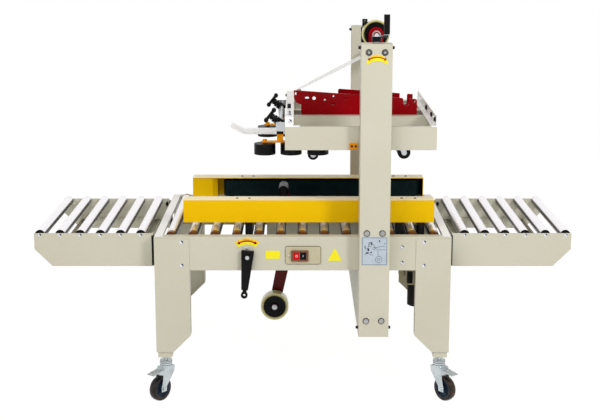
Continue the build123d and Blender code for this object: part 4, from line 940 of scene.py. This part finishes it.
filmLook = {
    "foot": (-0.0188, 0.0, 1.1265),
    "top": (0.3048, 0.0, 1.2923),
    "thick": 0.0006,
    "twist": 0.0045,
    "steps": 32,
    "across": 4,
    "bendStart": (0.0, 0.0, 1.1361),
    "bendEnd": (0.225, 0.0, 1.2514),
}


def tapeFilm():
    # the strip between roll and head, leaning a little to the front
    foot, top = Vector(filmLook["foot"]), Vector(filmLook["top"])
    steps, across = filmLook["steps"], filmLook["across"]
    half = rollLook["width"] / 2
    up = Vector((foot.z - top.z, 0, top.x - foot.x)).normalized() * filmLook["thick"] / 2
    mesh = bmesh.new()
    rings = []
    for i in range(steps + 1):
        along = i / steps
        lean = filmLook["twist"] * math.sin(math.pi * along) ** 0.7 if 0 < i < steps else 0.0
        shares = [2 * k / across - 1 for k in range(across + 1)]
        row = [foot.lerp(top, along) + Vector((0, share * half, share * lean)) for share in shares]
        rings.append([mesh.verts.new(p - up) for p in row] + [mesh.verts.new(p + up) for p in reversed(row)])
    skin(mesh, rings)
    for ring in (rings[0], rings[-1]):
        for k in range(across):
            mesh.faces.new((ring[k], ring[k + 1], ring[-2 - k], ring[-1 - k]))
    faceOutwards(mesh)
    film = addPiece("tape_film", mesh, ["clearFilm"], None)
    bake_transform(film)
    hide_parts("tape_web")


tapeFilm()
tapeRoll("upper_roll", rollLook["upper"])
tapeRoll("lower_roll", rollLook["lower"])
rollNuts()
print("tape rolls wound")

# the casters' wheels, as radius and height above the wheel's middle plane
wheelLook = {
    "tread": ((0.0330, 0.0130), (0.0390, 0.0147), (0.0415, 0.0144), (0.0453, 0.0120), (0.0471, 0.0070)),
    "crown": (0.0475, 0.0),
    "disc": ((0.0062, 0.0145), (0.0125, 0.0145), (0.0135, 0.0135), (0.0138, 0.0095), (0.0285, 0.0088),
             (0.0300, 0.0128), (0.0332, 0.0132), (0.0332, 0.0)),
    "ribs": {"count": 5, "radius": 0.021, "foot": 0.0088, "outline": (0.015, 0.0030, 0.0012, 3),
             "height": 0.0035},
}


def casterWheels():
    ribs = wheelLook["ribs"]
    tread = [(r, -h) for r, h in wheelLook["tread"]] + [wheelLook["crown"]] + list(wheelLook["tread"][::-1])
    for joint in frame["joints"]:
        if not joint["name"].startswith("wheel_"):
            continue
        corner = joint["child"][len("wheel_"):]
        matrix = aim(joint["pos_m"], joint["axis"])
        mesh = bmesh.new()
        closedLathe(mesh, tread, matrix, 64, 0)
        for way in (-1, 1):
            face = matrix @ Matrix.Scale(way, 4, (0, 0, 1))
            lathe(mesh, wheelLook["disc"], face, 48, 1)
            for place in aroundAxis(face, ribs["count"], ribs["radius"], ribs["foot"]):
                slab(mesh, roundedOutline(*ribs["outline"]), place, ribs["height"], 1)
        faceOutwards(mesh)
        colours = ["treadBrown", "wheelDisc"]
        wheel = addPiece("wheel_rubber_" + corner, mesh, colours, joint["child"])
        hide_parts("caster_wheel_" + corner)


casterWheels()
print("caster wheels turned")

# dark seams of each caster's ball race
raceLook = {"radius": 0.0234, "wall": 0.0008, "heights": (0.1335, 0.1415, 0.1480), "depth": 0.0016}


def raceRings():
    outer, depth = raceLook["radius"], raceLook["depth"]
    inner = outer - raceLook["wall"]
    section = [(inner, 0), (outer, 0), (outer, depth), (inner, depth)]
    for corner in ("infeed_front", "infeed_back", "discharge_front", "discharge_back"):
        joint = jointOf("caster_" + corner)
        x, y = joint["pos_m"][:2]
        mesh = bmesh.new()
        for z in raceLook["heights"]:
            closedLathe(mesh, section, Matrix.Translation((x, y, z)), 40)
        faceOutwards(mesh)
        addPiece("caster_race_rings_" + corner, mesh, ["darkCasting"], joint["child"])


raceRings()
print("caster races lined")

# fittings of the cranks; the heights of collar, ring and nut count from the height crank's joint
crankLook = {
    "turn": 58.0,
    "reach": 0.076,
    "collar": ((0, 0.0141), (0.0098, 0.0141), (0.0098, 0.0160), (0.00784, 0.0169), (0, 0.0169)),
    "ring": ((0.0092, -0.0042), (0.0100, -0.0036), (0.0100, 0.0036), (0.0092, 0.0042)),
    "ringHeight": 0.010,
    "nutHeight": 0.014,
    "heightHex": (0.0085, 0.006),
    "widthHex": (0.0058, 0.002),
    "leverScrew": {"place": (-0.2035, 0.5885), "size": 0.0055},
}


def crankFittings():
    turn = math.radians(crankLook["turn"])
    centre = Vector(jointOf("height_crank")["pos_m"])
    end = centre + Vector((math.cos(turn), math.sin(turn), 0)) * crankLook["reach"]
    mesh = bmesh.new()
    lathe(mesh, crankLook["collar"], Matrix.Translation(end), 32)
    ring = Matrix.Translation(end + Vector((0, 0, crankLook["ringHeight"]))) @ Matrix.Rotation(turn, 4, "Z")
    closedLathe(mesh, crankLook["ring"], ring, 32)
    top = centre + Vector((0, 0, crankLook["nutHeight"]))
    hexBolt(mesh, top, upwards, *crankLook["heightHex"], spin=0.5)
    faceOutwards(mesh)
    addPiece("height_crank_nuts", mesh, ["brightNut"], "height_crank")
    x, y, z = jointOf("width_crank")["pos_m"]
    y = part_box("width_crank")[0].y
    mesh = bmesh.new()
    hexBolt(mesh, (x, y, z), towardsFront, *crankLook["widthHex"], spin=0.2, washer=1.25)
    addPiece("width_crank_nut", mesh, ["boltZinc"], "width_crank")
    screw = crankLook["leverScrew"]
    x, z = screw["place"]
    mesh = bmesh.new()
    panScrew(mesh, (x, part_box("bed_side_front")[0].y, z), towardsFront, screw["size"], spin=0.4)
    addPiece("bed_crank_screw", mesh, ["boltZinc"], "frame")


crankFittings()

gapShadeLook = {"infeed": 0.0165, "discharge": 0.013, "proud": 0.0016, "sunk": 0.001, "low": 0.004, "top": 0.008}


def gapStrips():
    # dark strips in the black rubber finish, painted shade in the gap where each table's side plates end beside
    # the legs
    mesh = bmesh.new()
    for end in ("infeed", "discharge"):
        low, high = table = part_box("table_frame_" + end)
        x = high.x - gapShadeLook[end] if end == "infeed" else low.x
        for facing in (-1, 1):
            face = outerFace(table, facing)
            y0, y1 = sorted((face - facing * gapShadeLook["sunk"], face + facing * gapShadeLook["proud"]))
            block(mesh, (x, y0, low.z + gapShadeLook["low"]), (x + gapShadeLook[end], y1, high.z - gapShadeLook["top"]))
    faceOutwards(mesh)
    addPiece("table_gap_shade", mesh, ["blackRubber"], "frame", smooth=False)


gapStrips()

# a ring is radius and two heights along the stem; the lobe is its place, radius, half depth and bevel
wingKnobLook = {
    "place": (-0.084, 0.212),
    "tilt": -52.0,
    "stem": 0.0101,
    "rings": ((0.0145, 0.0210, 0.0300), (0.0125, 0.0335, 0.0400)),
    "lobe": (0.0235, 0.047, 0.0085, 0.0108, 0.001),
}


def wingKnobTrim():
    # collars on the wing knobs' stems and rounded lobes at the wings' ends
    low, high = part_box("clamp_bar")
    x, y = wingKnobLook["place"]
    stem = wingKnobLook["stem"]
    out, rise, radius, depth, bevel = wingKnobLook["lobe"]
    side = [(0, -depth), (radius - bevel, -depth), (radius, bevel - depth)]
    tilt = Matrix.Rotation(math.radians(wingKnobLook["tilt"]), 4, "Y")
    mesh = bmesh.new()
    for way in (-1, 1):
        base = Matrix.Translation((x, way * y, (low.z + high.z) / 2)) @ tilt
        for ring, z0, z1 in wingKnobLook["rings"]:
            closedLathe(mesh, [(stem, z0), (ring, z0), (ring, z1), (stem, z1)], base, 36)
        for end in (-1, 1):
            lobe = base @ Matrix.Translation((end * out, 0, rise)) @ Matrix.Rotation(math.pi / 2, 4, "X")
            lathe(mesh, side + [(r, -h) for r, h in side[::-1]], lobe, 28)
    faceOutwards(mesh)
    addPiece("wing_knob_trim", mesh, ["blackPlastic"], "head")


wingKnobTrim()

tableKnobLook = {
    "place": (0.563, 0.609),
    "plate": 0.0032,
    "profile": ((0, 0), (0.004, 0), (0.004, 0.004), (0.0085, 0.005), (0.0090, 0.007), (0.0085, 0.013),
                (0.006, 0.0145), (0, 0.0145)),
}


def tableKnobs():
    # a small knob inside each table's side plates, near the bed
    x, z = tableKnobLook["place"]
    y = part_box("table_frame_infeed")[1].y - tableKnobLook["plate"]
    mesh = bmesh.new()
    for end in (-1, 1):
        for way in (-1, 1):
            lathe(mesh, tableKnobLook["profile"], aim((end * x, way * y, z), (0, -way, 0)), 28)
    faceOutwards(mesh)
    addPiece("table_knobs", mesh, ["blackPlastic"], "frame")


tableKnobs()

coverTrim = {"sheet": 0.0026, "thick": 0.0016, "edge": 0.003, "inset": 0.002, "reach": 0.020}


def coverEndPlates():
    # dark plates inside the discharge end of each cover, beside the drive drum
    sheet, thick, edge = coverTrim["sheet"], coverTrim["thick"], coverTrim["edge"]
    for side, facing in sides:
        low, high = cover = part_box("belt_cover_" + side)
        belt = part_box("belt_" + side)
        x = high.x - sheet
        inner, outer = outerFace(cover, -facing), outerFace(cover, facing)
        mesh = bmesh.new()
        y0, y1 = sorted((inner + facing * coverTrim["inset"], outer - facing * sheet))
        block(mesh, (x - thick, y0, low.z + edge), (x, y1, high.z - edge))
        y0, y1 = sorted((outer - facing * sheet, outer - facing * (sheet + thick)))
        block(mesh, (belt[1].x - coverTrim["reach"], y0, low.z + edge), (x - thick, y1, high.z - edge))
        faceOutwards(mesh)
        body = side + "_belt_unit"
        addPiece("cover_end_plates_" + side, mesh, ["blackRubber"], body, smooth=False)


coverEndPlates()

# X and Y count from the motor's axis, Z from its foot
motorTrim = {
    "radius": 0.045,
    "box": {"x": (-0.0565, -0.0235), "y": (0.006, 0.0435), "z": (0.087, 0.146)},
    "lid": {"x": (-0.0505, -0.0295), "y": (0.0435, 0.0447), "z": (0.093, 0.140)},
    "tab": {"x": (-0.0815, -0.0615), "y": (0.034, 0.037), "z": (0.095, 0.175)},
}


def motorBoxes():
    # a terminal box on each motor's outer side, with a pale frame round a dark lid
    for side, facing in sides:
        low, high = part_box("motor_" + side)
        x = high.x - motorTrim["radius"]
        y = (low.y + high.y) / 2
        mesh = bmesh.new()
        for part, slot in (("box", 0), ("lid", 1), ("tab", 0)):
            places = motorTrim[part]
            x0, x1 = (x + v for v in places["x"])
            y0, y1 = sorted(y + facing * v for v in places["y"])
            z0, z1 = (low.z + v for v in places["z"])
            block(mesh, (x0, y0, z0), (x1, y1, z1), slot)
        faceOutwards(mesh)
        colours = ["plateBeige", "blackPlastic"]
        body = side + "_belt_unit"
        addPiece("motor_terminal_box_" + side, mesh, colours, body, smooth=False)


motorBoxes()

edgeLook = {
    "y": 0.0600,
    "thick": 0.0040,
    "lowEdge": ((0.1392, 1.10405), (0.3810, 1.08652)),
    "hook": ((0.4092, 1.08448), (0.4320, 1.08283)),
    "lift": 0.0170,
    "cut": 0.004,
}


def backPlateEdge():
    # the back red plate's upper edge with its rear horn
    lift, cut, thick = edgeLook["lift"], edgeLook["cut"], edgeLook["thick"]
    mesh = bmesh.new()
    for (x0, z0), (x1, z1) in (edgeLook["lowEdge"], edgeLook["hook"]):
        outline = [(x0, z0), (x1, z1), (x1, z1 + lift), (x0 + cut, z0 + lift), (x0, z0 + lift - cut)]
        slab(mesh, outline, frontFace(0, edgeLook["y"] + thick, 0), thick)
    faceOutwards(mesh)
    addPiece("back_plate_edge", mesh, ["redEnamel"], "head", smooth=False)


backPlateEdge()
print("fittings added")

# the switch; an outline is width, height and corner radius, and heights count from the panel's face
switchLook = {
    "place": (-0.0105, 0.562),
    "outer": (0.064, 0.041, 0.0045),
    "opening": (0.049, 0.028, 0.0025),
    "rimHeights": (-0.0048, 0.0002, 0.0006, -0.003),
    "foot": -0.003,
    "halves": ((-0.0235, 0.0012, -0.0005, 0.0002, 1), (0.0005, 0.0002, 0.0235, 0.0012, 2)),
    "dish": ((-0.0135, 0.0), (-0.006, 0.0006), (0.006, 0.0006), (0.0135, 0.0)),
    "offRing": ((0.0042, 0.0012), (0.0042, 0.0022), (0.0030, 0.0022), (0.0030, 0.0012)),
    "onBar": (0.0014, 0.009, 0.0006, 2),
    "markPlace": 0.012,
    "markFoot": 0.0012,
    "markHeight": 0.001,
    "screw": {"place": (-0.052, 0.563), "back": 0.004, "size": 0.0035},
    "plateRim": {"outer": (0.0022, 0.0085), "inner": (-0.0006, 0.0075), "foot": 0.0005, "edge": 0.0022,
                 "top": 0.0026},
}


def rimRings(mesh, place, rows):
    return [[mesh.verts.new(place @ Vector((x, y, z))) for x, y in outline] for outline, z in rows]


def rockerSwitch():
    look = switchLook
    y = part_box("switch_panel")[0].y
    centre = frontFace(look["place"][0], y, look["place"][1])
    outer, inner = roundedOutline(*look["outer"]), roundedOutline(*look["opening"])
    mesh = bmesh.new()
    skin(mesh, rimRings(mesh, centre, zip((outer, outer, inner, inner), look["rimHeights"])))
    foot = look["foot"]
    dish = look["dish"]
    for left, leftLift, right, rightLift, slot in look["halves"]:
        top = [mesh.verts.new(centre @ Vector((px, py, lift + dip)))
               for px, lift in ((left, leftLift), (right, rightLift)) for py, dip in dish]
        base = [mesh.verts.new(centre @ Vector((px, py, foot))) for px, py in
                oblong(left, right, dish[0][0], dish[-1][0])]
        for i in range(3):
            mesh.faces.new((top[i], top[i + 4], top[i + 5], top[i + 1])).material_index = slot
        for loop in ((top[0], top[4], base[1], base[0]),
                     (*top[4:], base[2], base[1]),
                     (top[7], top[3], base[3], base[2]),
                     (*top[3::-1], base[0], base[3])):
            mesh.faces.new(loop[::-1]).material_index = slot
    # a ring for off on the red half and a bar for on on the black half
    closedLathe(mesh, look["offRing"], centre @ Matrix.Translation((-look["markPlace"], 0, 0)), 24, 3)
    bar = centre @ Matrix.Translation((look["markPlace"], 0, look["markFoot"]))
    slab(mesh, roundedOutline(*look["onBar"]), bar, look["markHeight"], 3)
    x, z = look["screw"]["place"]
    panScrew(mesh, (x, y + look["screw"]["back"], z), towardsFront, look["screw"]["size"], slot=3)
    faceOutwards(mesh)
    addPiece("rocker_switch", mesh, ["switchFrame", "switchRed", "blackPlastic", "markWhite"], "frame",
             angle=25)


def switchRim():
    # painted shade: the plate's rounded edge is drawn as a thin dark brown rim
    look = switchLook["plateRim"]
    low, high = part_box("switch_panel")
    centre = (low + high) / 2
    face = frontFace(centre.x, high.y - look["foot"], centre.z)
    outer, inner = (roundedOutline(high.x - low.x + more, high.z - low.z + more, radius)
                    for more, radius in (look["outer"], look["inner"]))
    mesh = bmesh.new()
    skin(mesh, rimRings(mesh, face, ((outer, 0), (outer, look["edge"]), (inner, look["top"]), (inner, 0))))
    faceOutwards(mesh)
    addPiece("switch_plate_edge_shade", mesh, ["rimShadeBrown"], "frame", smooth=False)


switchRim()
rockerSwitch()
print("switch fitted")

# light, floor and backdrop
lightLook = {
    "skyStrength": 0.51,
    "skyTint": (1.0, 0.93, 0.80, 1.0),
    "target": (0, 0, 0.75),
    "lamps": {
        "keyLamp": {"place": (2.6, -4.5, 3.2), "size": 0.9, "watts": 94.0},
        "fillLamp": {"place": (-3.0, -4.4, 3.2), "size": 3.0, "watts": 42.0},
        "crownLamp": {"place": (-0.4, -3.2, 4.4), "size": 1.6, "watts": 50.0},
    },
    "floorReach": 14.0,
    "floorFinish": {"Base Color": (0.86, 0.86, 0.86, 1), "Roughness": 0.9, "Specular IOR Level": 0.0},
    "floorWhite": 0.88,
    "floorGlow": 1.09,
}


def addLamp(name, look):
    data = bpy.data.lights.new(name, "AREA")
    data.energy = look["watts"]
    data.size = look["size"]
    lamp = bpy.data.objects.new(name, data)
    lamp.location = look["place"]
    direction = Vector(lightLook["target"]) - Vector(look["place"])
    lamp.rotation_euler = direction.to_track_quat("-Z", "Y").to_euler()
    bpy.context.scene.collection.objects.link(lamp)


def seenDirectly(tree):
    # 1 for what the camera sees straight, in a mirror or through a film, and 0 for what only lights
    path = tree.nodes.new("ShaderNodeLightPath").outputs
    mirrored = mathNode(tree, "MAXIMUM", path["Is Glossy Ray"], path["Is Transmission Ray"])
    return mathNode(tree, "MAXIMUM", path["Is Camera Ray"], mirrored)


def addSky():
    world = bpy.data.worlds.new("studioSky")
    bpy.context.scene.world = world
    world.use_nodes = True
    tree = world.node_tree
    back = tree.nodes["Background"]
    seen = seenDirectly(tree)
    setSockets(tree, back, {"Color": mixColours(tree, seen, lightLook["skyTint"], (1.0, 1.0, 1.0, 1.0)),
                            "Strength": spread(tree, seen, 0.0, 1.0, lightLook["skyStrength"], 1.0)})


def addFloor():
    reach = lightLook["floorReach"]
    mesh = bpy.data.meshes.new("studioFloor")
    corners = [(x, y, 0) for x, y in oblong(-reach, reach, -reach, reach)]
    mesh.from_pydata(corners, [], [(0, 1, 2, 3)])
    floor = bpy.data.objects.new("studioFloor", mesh)
    bpy.context.scene.collection.objects.link(floor)
    material, tree, bsdf = startMaterial("studioFloorWhite")
    setSockets(tree, bsdf, lightLook["floorFinish"])
    white = addNode(tree, "ShaderNodeEmission", Strength=lightLook["floorGlow"])
    mix = tree.nodes.new("ShaderNodeMixShader")
    share = spread(tree, seenDirectly(tree), 0.0, 1.0, 0.0, lightLook["floorWhite"])
    setSockets(tree, mix, {0: share, 1: bsdf.outputs[0], 2: white.outputs[0]})
    setSockets(tree, tree.nodes["Material Output"], {"Surface": mix.outputs[0]})
    mesh.materials.append(material)


for lampName, lampLook in lightLook["lamps"].items():
    addLamp(lampName, lampLook)
addSky()
addFloor()
bpy.context.scene.view_settings.view_transform = "Standard"
print("studio lit")
